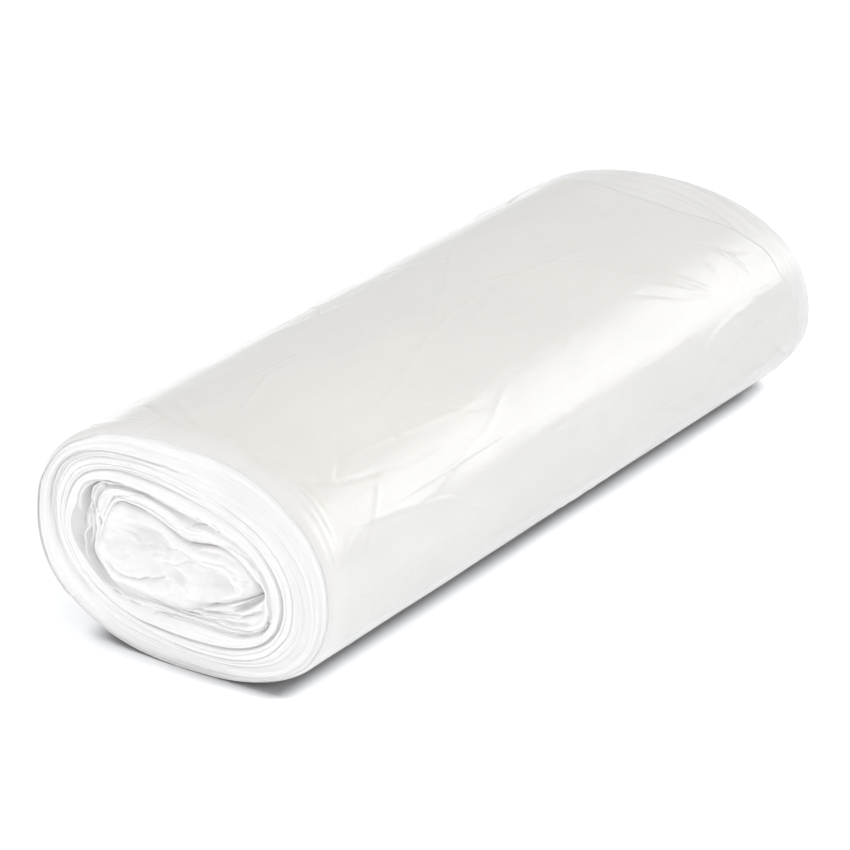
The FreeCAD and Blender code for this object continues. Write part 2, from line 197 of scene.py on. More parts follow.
# ------------------------------------------------------------------------------------
# mesh helpers
# ------------------------------------------------------------------------------------
def make_mesh(name, verts, quads, tris, uv=None, uv_name="Film"):
    """Mesh from mm arrays; quads and tris are index arrays; uv is one (u, v) per vertex."""
    me = bpy.data.meshes.new(name)
    v = (np.asarray(verts, float) + np.array(SHIFT)) * MM
    quads = np.asarray(quads, int).reshape(-1, 4)
    tris = np.asarray(tris, int).reshape(-1, 3)
    # faces look outwards: the closed mesh has a positive volume
    both = np.concatenate([quads[:, [0, 1, 2]], quads[:, [0, 2, 3]], tris])
    if np.einsum("ij,ij->i", v[both[:, 0]], np.cross(v[both[:, 1]], v[both[:, 2]])).sum() < 0:
        quads, tris = quads[:, ::-1], tris[:, ::-1]
    loops = np.concatenate([quads.ravel(), tris.ravel()])
    starts = np.concatenate([np.arange(len(quads)) * 4, len(quads) * 4 + np.arange(len(tris)) * 3])
    totals = np.concatenate([np.full(len(quads), 4), np.full(len(tris), 3)])
    me.vertices.add(len(v))
    me.vertices.foreach_set("co", v.ravel())
    me.loops.add(len(loops))
    me.loops.foreach_set("vertex_index", loops)
    me.polygons.add(len(starts))
    me.polygons.foreach_set("loop_start", starts)
    me.polygons.foreach_set("loop_total", totals)
    me.update(calc_edges=True)
    me.validate()
    if uv is not None:
        layer = me.uv_layers.new(name=uv_name)
        layer.data.foreach_set("uv", np.asarray(uv, float)[loops].ravel())
    me.polygons.foreach_set("use_smooth", np.ones(len(starts), bool))
    me.update()
    obj = bpy.data.objects.new(name, me)
    bpy.context.scene.collection.objects.link(obj)
    return obj


def grid_quads(rows, cols, first=0, flip=False):
    """Quads of a grid closed round its columns."""
    r = np.arange(rows - 1)[:, None]
    c = np.arange(cols)[None, :]
    a = first + r * cols + c
    b = first + r * cols + (c + 1) % cols
    q = np.stack([a, b, b + cols, a + cols], axis=-1).reshape(-1, 4)
    return q[:, ::-1] if flip else q


def fan(ring_start, cols, centre, flip=False):
    c = np.arange(cols)
    t = np.stack([ring_start + c, ring_start + (c + 1) % cols, np.full(cols, centre)], axis=-1)
    return t[:, ::-1] if flip else t


# ------------------------------------------------------------------------------------
# camera: the photograph's viewing angle
# ------------------------------------------------------------------------------------
E, A, DIST, FOCAL = 0.418987, 0.970119, 1408.0065, 4418.2556
PAN_X, PAN_Y = -6.4924, 24.9131
right = Vector((math.cos(A), -math.sin(A), 0))
ahead = Vector((math.sin(A) * math.cos(E), math.cos(A) * math.cos(E), -math.sin(E)))
above = Vector((math.sin(A) * math.sin(E), math.cos(A) * math.sin(E), math.cos(E)))
eye = right * PAN_X + above * PAN_Y - ahead * DIST + Vector(SHIFT)
cam = bpy.data.cameras.new("camera")
cam.sensor_fit = "HORIZONTAL"
cam.sensor_width = 36.0
cam.lens = FOCAL * 36.0 / 850.0
cam.clip_start, cam.clip_end = 0.05, 20.0
camera = bpy.data.objects.new("camera", cam)
m = Matrix((right, above, -ahead)).transposed().to_4x4()
m.translation = eye * MM
camera.matrix_world = m
bpy.context.scene.collection.objects.link(camera)
bpy.context.scene.camera = camera

# ------------------------------------------------------------------------------------
# the outermost turn: skin with creases
# ------------------------------------------------------------------------------------
# crease lines on the skin: (strength mm, width mm, [(X, degrees), ...])
CREASES = [
    (0.42, 1.3, [(34, 101), (50, 113), (66, 126), (75, 135), (87, 149)]),
    (-0.30, 0.9, [(38, 104), (52, 116), (66, 129), (74, 138), (84, 148)]),
    (-0.40, 1.1, [(50, 131), (66, 139), (81, 147)]),
    (0.28, 1.1, [(55, 128), (70, 137), (86, 149)]),
    (0.34, 1.0, [(5, 100), (-14, 101), (-34, 106), (-59, 114), (-86, 122)]),
    (-0.06, 0.9, [(39, 132), (10, 133), (-27, 133), (-33, 133)]),
    (0.20, 1.2, [(-27, 135), (-50, 147), (-65, 151), (-81, 157), (-102, 155), (-120, 151)]),
    (-0.24, 1.1, [(-116, 134), (-106, 137), (-98, 139)]),
    (-0.10, 1.1, [(-102, 138), (-86, 140.5), (-69, 142)]),
    (-0.22, 1.1, [(-116, 134), (-128, 128), (-136, 121)]),
    (-0.22, 1.1, [(-116, 134), (-104, 124), (-94, 114)]),
    (-0.10, 1.0, [(-122, 116), (-121, 134)]),
    (0.24, 1.1, [(-84, 84), (-112, 93)]),
    (-0.24, 1.2, [(-80, 119), (-83, 134)]),
    (-0.30, 1.3, [(-69, 122), (-56, 133), (-41, 139)]),
    (0.26, 1.3, [(23, 78), (6, 61)]),
    (-0.22, 1.3, [(-77, 183), (-94, 188)]),
    (0.28, 1.2, [(-113, 69), (-124, 85), (-136, 102)]),
    (-0.24, 1.0, [(-118, 62), (-128, 80), (-137, 92)]),
    (0.24, 0.9, [(89, 83), (80, 101)]),
    (-0.30, 0.9, [(95, 127), (107, 138)]),
    (0.26, 0.9, [(89, 135), (92, 141)]),
    (0.30, 0.9, [(99, 132), (107, 147)]),
    (-0.26, 0.9, [(107, 136), (119, 146)]),
    (0.20, 1.2, [(-60, 60), (-20, 72), (16, 66)]),
    (0.24, 1.2, [(-110, 30), (-60, 18), (-10, 24), (50, 8)]),
    (-0.24, 1.1, [(100, 40), (60, 30), (20, 38), (-30, 30)]),
    (0.26, 1.2, [(-130, 350), (-70, 341), (0, 348), (60, 340)]),
    (0.26, 1.1, [(110, 210), (60, 203), (10, 214), (-50, 206)]),
    (-0.22, 1.2, [(-120, 232), (-60, 226), (-10, 236)]),
    # the lower front
    (0.26, 1.0, [(-120, 166), (-110, 153), (-101, 142)]),
    (0.22, 0.9, [(-84, 176), (-98, 183), (-110, 192)]),
    (-0.20, 1.0, [(-44, 168), (-14, 161), (18, 164)]),
    (0.22, 1.0, [(8, 190), (40, 183), (76, 187)]),
    (0.24, 1.0, [(56, 172), (82, 162), (104, 158)]),
    (-0.22, 1.0, [(74, 181), (94, 172), (108, 170)]),
    (-0.20, 1.0, [(-122, 198), (-98, 205), (-70, 201)]),
    (0.20, 1.0, [(-30, 196), (-56, 190), (-80, 194)]),
    # the back, with pulls of the same kind
    (0.34, 1.1, [(-20, 52), (-34, 40), (-52, 31), (-70, 26)]),
    (-0.32, 1.1, [(-20, 52), (-2, 44), (18, 40), (40, 30)]),
    (-0.30, 1.1, [(-20, 52), (-28, 62), (-40, 70)]),
    (0.30, 1.2, [(52, 20), (70, 10), (92, 6), (112, 0)]),
    (-0.30, 1.1, [(52, 20), (38, 12), (20, 9)]),
    (0.30, 1.1, [(70, 52), (90, 44), (108, 42)]),
    (-0.30, 1.0, [(82, 60), (98, 52), (112, 54)]),
    (0.30, 1.1, [(-92, 12), (-108, 22), (-126, 26), (-136, 34)]),
    (-0.28, 1.1, [(-92, 12), (-74, 4), (-60, 352)]),
    (-0.26, 1.1, [(-96, 48), (-112, 54), (-128, 52)]),
    (0.24, 1.1, [(-20, 352), (6, 2), (30, 356)]),
    # edges of the film just behind the rolled rim
    (0.44, 0.9, [(-133.6, 40), (-133.2, 90), (-131.6, 120), (-132.6, 150), (-133.6, 178)]),
    (0.30, 0.8, [(-131.0, 62), (-129.2, 100), (-128.4, 130), (-130.6, 158)]),
    (-0.20, 0.8, [(-128.0, 84), (-126.4, 112), (-127.2, 140)]),
    (0.20, 0.8, [(-134.0, 100), (-130.4, 125), (-125.0, 142)]),
]


def polyline_distance(px, ps, line, girth):
    """Distance from points to a polyline on the unrolled skin, and how far along it (0..1)."""
    best = np.full(px.shape, 1e9)
    along = np.zeros(px.shape)
    lengths = [math.hypot(b[0] - a[0], b[1] - a[1]) for a, b in zip(line, line[1:])]
    total = sum(lengths) or 1.0
    done = 0.0
    for (a, b), length in zip(zip(line, line[1:]), lengths):
        dx, ds = b[0] - a[0], b[1] - a[1]
        qs = ps - a[1]
        qs = qs - girth * np.round(qs / girth)
        qx = px - a[0]
        t = np.clip((qx * dx + qs * ds) / (length ** 2 + 1e-9), 0, 1)
        d = np.hypot(qx - t * dx, qs - t * ds)
        closer = d < best
        best = np.where(closer, d, best)
        along = np.where(closer, (done + t * length) / total, along)
        done += length
    return best, along


def skin_radius(deg, inset=0.0):
    """(Y, Z) on the skin, inset along the normal, with the flat underside and the tail step."""
    base = periodic(LEVELS[0], deg)
    rad = np.radians(deg)
    y, z = SY * base * np.cos(rad), POLE_Z + SZ * base * np.sin(rad)
    dy = np.roll(y, -1) - np.roll(y, 1)
    dz = np.roll(z, -1) - np.roll(z, 1)
    ln = np.hypot(dy, dz)
    ny, nz = dz / ln, -dy / ln
    back = (deg - TAIL_ANGLE) % 360.0
    step = np.where(back > 360 - TAIL_SPAN, TAIL_STEP * (1 - (360 - back) / TAIL_SPAN), 0.0)
    y, z = y - ny * (inset + step), z - nz * (inset + step)
    return y, z, ny, nz


START = 270.0        # columns start underneath


def even_angles(count, quiet=1.0):
    """Angles spaced evenly along the section; quiet < 1 spends fewer cells underneath and behind."""
    deg = START + np.linspace(0, 360, 2881)[:-1]
    y, z, _, _ = skin_radius(deg)
    steps = np.hypot(np.diff(np.append(y, y[0])), np.diff(np.append(z, z[0])))
    s = np.concatenate([[0], np.cumsum(steps)])
    girth = s[-1]
    weight = quiet + (1 - quiet) * smooth((115 - np.abs(wrap_deg(deg - 140))) / 20)
    w = np.concatenate([[0], np.cumsum(steps * weight)])
    want = np.interp(np.linspace(0, w[-1], count, endpoint=False), w, s)
    return np.interp(want, s, np.append(deg, START + 360.0)), want, girth


def rim_arc(radius, steps, last):
    """Rolled rim: (back from the end plane, inwards from the skin) pairs, last in degrees."""
    phi = np.radians(np.linspace(0, last, steps))
    return radius * (1 - np.sin(phi)), radius * (1 - np.cos(phi))


RIM = 4.4
n_small = Noise(11)
n_mid = Noise(12)
n_big = Noise(13)

COLS = 300
deg_c, arc_c, girth = even_angles(COLS, 0.5)
rows_x = np.linspace(0, 1, 300)
far_x = periodic(WRAP_EDGE, deg_c)



def ring_noise(noise, u, arc, girth, scale):
    v, period = around(arc, girth, scale)
    return noise(u, v, period)


far_x = far_x + 0.6 * ring_noise(n_mid, 3.3, arc_c, girth, 9.0) + 0.25 * ring_noise(n_small, 8.1, arc_c, girth, 2.5)
near_x = -LENGTH / 2 + RIM
rim_last = 46 + 12 * ring_noise(n_mid, 40.2, arc_c, girth, 30.0) + 4 * ring_noise(n_small, 2.2, arc_c, girth, 7.0) \
    + 14 * np.exp(-(wrap_deg(deg_c - 20) / 50) ** 2)
rim_rows = 9
X, Y, Z, UU, VV = [], [], [], [], []
y0, z0, ny, nz = skin_radius(deg_c)
# rolled rim first, from the film's cut edge back to the skin
for k in range(rim_rows):
    phi = np.radians(rim_last * (1 - k / rim_rows))
    back, inward = RIM * (1 - np.sin(phi)), RIM * (1 - np.cos(phi))
    lift = 0.20
    X.append(-LENGTH / 2 + back - lift * np.sin(phi))
    off = lift * np.cos(phi) - inward
    Y.append(y0 + ny * off)
    Z.append(z0 + nz * off)
for share in rows_x:
    x = near_x + (far_x - near_x) * share
    X.append(x)
    Y.append(y0 + ny * 0.20)
    Z.append(z0 + nz * 0.20)
X, Y, Z = np.array(X), np.array(Y), np.array(Z)
rows = X.shape[0]
arc = np.broadcast_to(arc_c, X.shape)
D = np.zeros(X.shape)
deg_to_arc = lambda d: float(np.interp((d - START) % 360.0 + START, np.append(deg_c, START + 360.0), np.append(arc_c, girth)))
for strength, width, line in CREASES:
    flat = [(x, deg_to_arc(d)) for x, d in line]
    # a little wander along the crease
    d, along = polyline_distance(X + 0.7 * ring_noise(n_mid, X / 11.0, arc, girth, 11.0),
                                 arc + 0.7 * ring_noise(n_mid, X / 11.0 + 50, arc, girth, 11.0), flat, girth)
    ends = smooth(along / 0.12) * smooth((1 - along) / 0.12) * 0.85 + 0.15
    # creases are firmer towards the ends, where the film is gathered
    firm = 0.95 + 0.55 * smooth((max(abs(line[0][0]), abs(line[-1][0])) - 84.0) / 16.0)
    D += firm * strength * ends * np.exp(-np.abs(d / (0.58 * width)) ** 1.1)
# soft hollows between creases, long and low along the roll
v24, p24 = around(arc, girth, 24.0)
v8, p8 = around(arc, girth, 8.0)
v5, p5 = around(arc, girth, 5.0)
D += 0.10 * fbm(n_big, X / 60.0, v24, 2, period=p24)
D += 0.05 * fbm(n_mid, X / 26.0 + 3, v8, 3, period=p8)
# fine pulls of the film, sharper close to both ends and along the shoulder
wrinkle = np.maximum(0, ridged(n_small, X / 26.0, v8 + 0, 3, period=p8) - 1.05)
zone = 0.25 + 1.0 * np.exp(-((X + 122) / 16.0) ** 2) + 1.0 * np.exp(-((X - 100) / 16.0) ** 2)
D += 0.13 * wrinkle * zone
pull = np.maximum(0, ridged(n_mid, X / 7.0 + 40, v24, 2, period=p24) - 0.9)
D += 0.10 * pull * (0.2 + np.exp(-((X - 104) / 14.0) ** 2))
# fade so that nothing reaches below the flat underside or lifts at the film's cut edges
height_share = smooth((Z - 0.5) / 6.0)
D *= (0.12 + 0.88 * height_share)
D *= 0.12 + 0.88 * smooth((X + LENGTH / 2 - 3.0) / 9.0)
D = np.where(X > far_x - 8, np.maximum(D, -0.25), D) * (0.45 + 0.55 * smooth((far_x - X) / 7.0))
Y = Y + ny * D
Z = Z + nz * D
Z = np.maximum(Z, 0.0)
U = X + 0 * arc
# the cut edges turn in: near cap and far cap are hidden under the turns at both ends
cap_near = [(-LENGTH / 2 + 9.0, 5.5), (-LENGTH / 2 + 9.0, 12.0)]
verts = [np.stack([X.ravel(), Y.ravel(), Z.ravel()], axis=-1)]
uvs = [np.stack([X.ravel(), arc.ravel()], axis=-1)]
count = rows * COLS
quads = [grid_quads(rows, COLS)]


def add_ring(x, y, z, u):
    global count
    verts.append(np.stack([x, y, z], axis=-1))
    uvs.append(np.stack([u, arc_c], axis=-1))
    count += COLS
    return count - COLS


ring_quads = []


def join(a, b):
    c = np.arange(COLS)
    n = (c + 1) % COLS
    ring_quads.append(np.stack([a + c, a + n, b + n, b + c], axis=-1))


# near lip, then down to a hidden disc
phi = np.radians(rim_last)
back, inward = RIM * (1 - np.sin(phi)), RIM * (1 - np.cos(phi))
off = -inward - 0.05 * np.cos(phi)
r1 = add_ring(-LENGTH / 2 + back + 0.05 * np.sin(phi), y0 + ny * off, z0 + nz * off, X[0] - 0.3)
r2 = add_ring(np.full(COLS, -LENGTH / 2 + 20.0), y0 - ny * 2.2, z0 - nz * 2.2, X[0] - 1)
c1 = count
verts.append(np.array([[-LENGTH / 2 + 20.0, 0, POLE_Z]]))
uvs.append(np.array([[-LENGTH / 2, 0]]))
count += 1
join(r1, 0)
join(r2, r1)
near_fan = fan(r2, COLS, c1, flip=True)
# far lip: the outermost turn's edge, then a hidden disc
last = (rows - 1) * COLS
drop = 0.55
f1 = add_ring(X[-1], Y[-1] - ny * drop, Z[-1] - nz * drop, X[-1] + 0.3)
f2 = add_ring(np.full(COLS, 80.0), y0 - ny * 2.2, z0 - nz * 2.2, X[-1] + 1)
c2 = count
verts.append(np.array([[80.0, 0, POLE_Z]]))
uvs.append(np.array([[LENGTH / 2, 0]]))
count += 1
join(last, f1)
join(f1, f2)
far_fan = fan(f2, COLS, c2)
outer_wrap = make_mesh("outer_wrap", np.concatenate(verts), np.concatenate(quads + ring_quads),
                       np.concatenate([near_fan, far_fan]), np.concatenate(uvs))

# ------------------------------------------------------------------------------------
# the turns at the near end, with the loose heart
# ------------------------------------------------------------------------------------
NCOLS = 560
ndeg, narc, ngirth = even_angles(NCOLS)
table = radii(ndeg)
# squash the radius down onto the flat underside
yy, zz, _, _ = skin_radius(ndeg)
table[0] = np.hypot(yy / SY, (zz - POLE_Z) / SZ)
ROW_SPEC = [(0, 1, 31), (1, 2, 17), (2, 3, 17), (3, 4, 18), (4, 5, 24), (5, 6, 26), (6, 7, 34)]
row_levels = np.concatenate([np.linspace(a, b, n, endpoint=False) for a, b, n in ROW_SPEC])
row_levels = row_levels[row_levels < 6.985]
lev = np.broadcast_to(row_levels[:, None], (len(row_levels), NCOLS)).copy()
R = at_level(table, lev)
rad = np.radians(ndeg)
mmr = np.hypot(SY * np.cos(rad), SZ * np.sin(rad))      # mm per unit of squashed radius
RM = R * mmr
Yn = SY * R * np.cos(rad)
Zn = POLE_Z + SZ * R * np.sin(rad)
DEG = np.broadcast_to(ndeg, lev.shape)
ARC = np.broadcast_to(narc, lev.shape)
inward_mm = RM[0] - RM
WIND = np.broadcast_to(RM.mean(axis=1)[:, None], RM.shape)      # the same along each turn


def window(centre, half, soft=12.0):
    """1 inside centre +- half degrees, fading over soft degrees."""
    return smooth((half + soft - np.abs(wrap_deg(DEG - centre))) / soft)


def from_line(level):
    """Signed mm from the outline at this level (inwards positive); level may vary with angle."""
    level = np.broadcast_to(level, (NCOLS,))
    return at_level(table, level) * mmr - RM


def groove(level, depth, width, sharp=3.0):
    return -0.80 * depth / (1 + np.abs(from_line(level) / width) ** sharp)


H = np.zeros(lev.shape)
# rolled rim
rr = RIM
d0 = np.clip(inward_mm, 0, rr)
H -= rr - np.sqrt(np.maximum(rr ** 2 - (rr - d0) ** 2, 0))
soft_rim = np.clip(inward_mm / 11.0, 0, 1)
H -= 1.0 * (1 - smooth(soft_rim)) * smooth(inward_mm / 3.0)
# film edges that cross the rim as fine lips
def n_ring(noise, u, scale):
    v, period = around(narc, ngirth, scale)
    return noise(u, v, period)


wob = 0.05 * n_ring(n_mid, 7.7, 16.0) + 0.02 * n_ring(n_small, 1.7, 5.0)
for base, tilt, lift in ((0.30, -0.0016, 0.17), (0.20, 0.0012, 0.12), (0.46, 0.0009, 0.12), (0.62, -0.0008, 0.11),
                         (0.77, 0.0006, 0.12), (0.90, -0.0005, 0.10)):
    line = base + tilt * wrap_deg(ndeg - 100) * np.cos(np.radians(wrap_deg(ndeg - 100)) / 2) + wob
    d = from_line(line)
    H += lift * (smooth((d + 0.35) / 0.35) - smooth(d / 1.4))
# the turns' own grooves
jig = 0.035 * n_ring(n_mid, 21.0, 12.0) + 0.02 * n_ring(n_small, 31.0, 4.0)
H += groove(1.0 + jig, 0.25 + 0.8 * window(52, 34) + 0.35 * window(195, 38, 25), 0.26 + 0.25 * window(200, 30, 25))
H += -1.1 * window(5, 34, 26) * np.exp(-(from_line(1.45) / 1.6) ** 2)
H += -0.8 * window(205, 30, 22) * np.exp(-(from_line(1.35) / 1.8) ** 2)
H += groove(1.3 - jig, 0.22 + 0.4 * window(30, 40), 0.22)
H += groove(1.6 + jig, 0.25 + 0.6 * window(40, 30) + 0.25 * window(240, 40), 0.25)
H += groove(2.0 + jig * 0.8, 0.30 + 0.45 * window(30, 45) + 0.6 * window(195, 66, 22), 0.25)
H += groove(2.3 + jig, 0.22 + 0.3 * window(80, 70), 0.2)
H += groove(2.5 - jig, 0.25 + 0.7 * window(38, 60) + 0.5 * window(205, 50), 0.24)
H += groove(2.76 + jig, 0.2 + 0.4 * window(20, 60), 0.2)
H += groove(3.0 + jig * 0.5, 0.30 + 0.7 * window(55, 34, 18) + 1.0 * window(222, 58, 26), 0.26 + 0.12 * window(232, 40, 26))
# the thinner turns between the bundles
for k, level in enumerate((1.14, 1.46, 1.76, 1.88, 2.14, 2.40, 2.64, 2.88, 3.16, 3.52, 3.86)):
    strength = 0.16 + 0.14 * n_ring(n_mid, 60.0 + 3.1 * k, 45.0)
    H += groove(level + jig * (0.6 + 0.1 * k), strength, 0.17)
# rounded bundles between the grooves
for a, b, lift in ((1.02, 1.98, 0.22), (2.02, 2.98, 0.28)):
    t = np.clip((lev - a) / (b - a), 0, 1)
    H += lift * np.sin(math.pi * t) * (lev > a) * (lev < b)
# the thick white ring
t = np.clip((lev - 3.0) / 1.0, 0, 1)
ring = np.sin(math.pi * np.clip(t, 0, 1)) ** 0.7 * ((lev > 3) & (lev < 4))
H += 0.85 * ring
H += groove(3.35 + 0.5 * jig, 0.22 * (0.4 + window(260, 60) + 0.6 * window(150, 40)), 0.22)
H += groove(3.68 - 0.5 * jig, 0.18 * (0.4 + window(250, 60) + 0.8 * window(120, 50)), 0.2)
# fall from the ring into the loose middle
left_gap = window(22, 24, 24)
right_gap = window(178, 24, 22)
low_gap = window(262, 56, 30)
middle = -0.1 - 1.5 * left_gap - 0.4 * right_gap - 0.2 * low_gap
gap_shape = smooth((lev - 3.90) / 0.34) * (1 - smooth((lev - 4.66) / 0.42))
H += gap_shape * middle
# the open crescent on the left, from the ring to the heart's tip
H += -2.3 * window(4, 30, 26) * smooth((lev - 3.95) / 0.55) * (1 - smooth((lev - 5.40) / 0.50))
H += -0.5 * window(74, 26, 24) * np.exp(-(from_line(4.33) / 0.75) ** 2)
H += -0.3 * window(128, 34, 24) * np.exp(-(from_line(4.40) / 0.55) ** 2)
# folds of film standing in the gap
H += 1.3 * left_gap * np.exp(-(from_line(4.40 + 0.16 * np.sin(np.radians(ndeg * 5)) + 2.4 * jig) / 0.40) ** 2)
H += 0.8 * window(20, 20, 14) * np.exp(-(from_line(4.64 + 0.10 * np.sin(np.radians(ndeg * 6 + 40))) / 0.45) ** 2)
H += 1.1 * window(34, 18, 12) * np.exp(-(from_line(4.20 + 0.10 * np.sin(np.radians(ndeg * 9 + 10))) / 0.35) ** 2)
H += 1.2 * window(334, 26, 20) * np.exp(-(from_line(4.4 + jig) / 0.8) ** 2)
H += groove(4.28 + 1.5 * jig, 2.4 * window(26, 14, 10), 0.35)
H += groove(4.80 + 1.2 * jig, 1.2 * window(8, 26, 14), 0.3)
# thin bands under the heart
for level, depth, w in ((4.12, 0.6, 0.22), (4.42, 0.9, 0.26), (4.72, 0.6, 0.2), (5.02, 1.1, 0.28), (5.35, 0.8, 0.22), (5.6, 0.6, 0.2)):
    wav = 0.10 * np.sin(np.radians(ndeg * 2 + 200 * level)) + 2.2 * jig
    H += groove(level + wav, depth * (0.22 * window(270, 60, 20) + 0.80 * window(238, 32, 24)), w)
H += -0.5 * window(250, 46, 26) * smooth((lev - 4.7) / 0.5) * (1 - smooth((lev - 5.9) / 0.2))
H += -1.5 * window(206, 20, 18) * smooth((lev - 4.9) / 0.5) * (1 - smooth((lev - 6.02) / 0.15))
# the second turn's wave over the heart
t = np.clip((lev - 4.55) / 1.35, 0, 1)
wave = np.sin(math.pi * t) * ((lev > 4.55) & (lev < 5.9))
H += wave * (0.5 * window(60, 46, 24) + 0.6 * window(140, 46, 26) + 0.2 * window(0, 30, 20))
H += groove(5.05 + jig, 0.35 * window(70, 70, 20), 0.2)
H += groove(5.32 - jig, 0.35 * window(100, 70, 20), 0.22)
H += groove(5.62 - jig, 0.5 * window(60, 50, 20) + 0.4 * window(170, 40), 0.24)
# dark seam round the heart
H += groove(5.96, 0.5 * window(62, 40, 22) + 0.6 * window(112, 26, 16) + 0.4 * window(160, 30, 20) + 1.2 * window(200, 24, 18)
            + 0.4 * window(262, 60, 20), 0.28 + 0.1 * window(112, 20))
H += -2.6 * window(196, 13, 12) * np.exp(-(from_line(5.74) / 1.1) ** 2)
H += -0.8 * window(52, 8, 8) * np.exp(-(from_line(5.96) / 0.8) ** 2)


# the heart: the first bag's folded end, puffed out
def dist_line(points):
    """mm from each grid point to a line of (Y, Z) points, and how far along it."""
    best = np.full(Yn.shape, 1e9)
    along = np.zeros(Yn.shape)
    lengths = [math.hypot(b[0] - a[0], b[1] - a[1]) for a, b in zip(points, points[1:])]
    total = sum(lengths)
    done = 0.0
    for (a, b), length in zip(zip(points, points[1:]), lengths):
        t = np.clip(((Yn - a[0]) * (b[0] - a[0]) + (Zn - a[1]) * (b[1] - a[1])) / length ** 2, 0, 1)
        d = np.hypot(Yn - a[0] - t * (b[0] - a[0]), Zn - a[1] - t * (b[1] - a[1]))
        closer = d < best
        best = np.where(closer, d, best)
        along = np.where(closer, (done + t * length) / total, along)
        done += length
    return best, along


def puff(y, z, ry, rz, turn_deg, lift, power=2.0):
    """A soft mound at (y, z)."""
    c, s = math.cos(math.radians(turn_deg)), math.sin(math.radians(turn_deg))
    u = ((Yn - y) * c + (Zn - z) * s) / ry
    v = (-(Yn - y) * s + (Zn - z) * c) / rz
    return lift * np.exp(-(u ** 2 + v ** 2) ** (power / 2))


edge_in = at_level(table, np.full(NCOLS, 6.0)) * mmr - RM        # mm inside the heart's outline
heart = smooth(edge_in / 0.5) * (1 - np.exp(-np.maximum(edge_in, 0) / 2.2))
H += 1.15 * heart
# two lobes with hollows in them, the left tip and the small peak where they meet
H += 1.35 * heart * (puff(25, 34.5, 4.5, 4.5, 0, 2.2) + puff(17, 33.0, 8, 4.2, 14, 2.0) + puff(15, 44.5, 9, 3.4, 4, 1.5)
              - puff(10, 41.5, 7.0, 3.6, 14, 2.1) - puff(4, 38.6, 4, 1.6, 10, 0.6)
              + puff(-1.5, 36.2, 3.6, 2.4, 0, 1.5) + puff(9, 25.2, 15, 4.6, 6, 2.8) + puff(20, 27.0, 5, 3.0, 20, 1.6)
              + puff(-11, 30.5, 7, 4.0, 0, 1.8) - puff(-17.5, 33.5, 4.6, 3.2, 30, 2.0) + puff(-24, 34.6, 4, 2.6, 40, 1.0)
              + puff(-14, 38.6, 9, 3.0, 16, 1.2) + puff(-10, 26.6, 5, 2.6, -10, 1.2) - puff(-3, 31.4, 3, 1.6, 0, 0.7))


def crease(points, depth, width, lip=0.0, lip_side=1.0, power=1.2):
    d, along = dist_line(points)
    ends = smooth(along / 0.10) * smooth((1 - along) / 0.10)
    return -depth * ends * np.exp(-(d / width) ** power)


def bend(points, wander=0.8, seed=0.0):
    """The same line with a little wander, so that folds are not ruled."""
    out = []
    for (a, b) in zip(points, points[1:]):
        n = max(2, int(math.hypot(b[0] - a[0], b[1] - a[1]) / 1.6))
        for k in range(n):
            t = k / n
            y, z = a[0] + (b[0] - a[0]) * t, a[1] + (b[1] - a[1]) * t
            out.append((y + wander * float(n_small(y / 3.0 + seed, z / 3.0)), z + wander * float(n_small(y / 3.0 + 60 + seed, z / 3.0))))
    out.append(points[-1])
    return out


HEART_FOLDS = [
    ([(28.4, 33.0), (26.1, 31.4), (21.9, 30.1), (16.4, 28.3), (10.8, 28.0), (7.1, 28.6), (1.5, 30.1)], 1.7, 0.42),
    # the ridge under the upper puff and the soft line over it
    ([(20.5, 42.2), (15.9, 41.0), (10.5, 37.4), (4.1, 38.2), (-2.4, 39.7), (-6.9, 38.7), (-13.3, 38.8)], 0.7, 0.45),
    ([(18.6, 43.9), (10.4, 42.1), (3.1, 40.8), (-4.3, 41.2)], 0.5, 0.45),
    ([(19, 46.0), (12, 46.2), (5, 44.6), (-1, 42.9), (-6, 41.9)], 0.45, 0.42),
    # arcs of the folded film on the right
    ([(-9.7, 41.9), (-17.0, 42.4), (-22.4, 40.7), (-25.6, 37.2), (-25.9, 33.0)], 1.25, 0.34),
    ([(-11.5, 39.6), (-17.8, 39.6), (-22.3, 37.4), (-24.0, 34.6), (-23.4, 31.0)], 1.25, 0.34),
    ([(-13.2, 37.4), (-18.4, 37.2), (-21.0, 34.6), (-20.3, 30.3)], 1.0, 0.34),
    # the knot and the lines that leave it
    ([(-0.4, 34.5), (-6.0, 36.6), (-13.3, 37.4), (-16.9, 36.6)], 0.7, 0.36),
    ([(-3.1, 31.4), (-4.8, 29.3)], 0.5, 0.5),
    ([(4.5, 33.4), (1.0, 35.0), (-3.0, 35.6)], 0.6, 0.4),
    ([(8, 35.2), (4, 36.4), (0.4, 37.2)], 0.5, 0.42),
    ([(-6.0, 31.2), (-9.5, 32.4), (-13.0, 31.8)], 0.4, 0.4),
    ([(26.8, 39.4), (23, 39.0), (20, 40.2)], 0.7, 0.36),
    ([(27.4, 37.4), (24.4, 36.9), (21.8, 37.8)], 0.6, 0.36),
    ([(25.4, 42.4), (22, 42.9), (18.4, 45.0)], 0.55, 0.36),
    ([(24, 26.2), (19, 25.0), (13, 24.4), (7, 24.8)], 0.4, 0.45),
    ([(2, 26.0), (-4, 25.2), (-9, 25.8)], 0.45, 0.45),
    ([(-13.5, 28.6), (-12.4, 26.4), (-13, 24.6)], 0.6, 0.38),
]
for k, (points, depth, width) in enumerate(HEART_FOLDS):
    H += heart * crease(bend(points, 0.7, 3.1 * k), 0.62 * depth, 1.1 * width)
# crumple of the thin film on the heart
crumple = ridged(n_small, Yn / 4.2 + 0.25 * Zn / 4.2, Zn / 3.4, 3)
H += heart * 0.26 * np.maximum(0, crumple - 0.6)
H += heart * 0.50 * fbm(n_mid, Yn / 6.5 + 20, Zn / 4.5 + 11, 3)
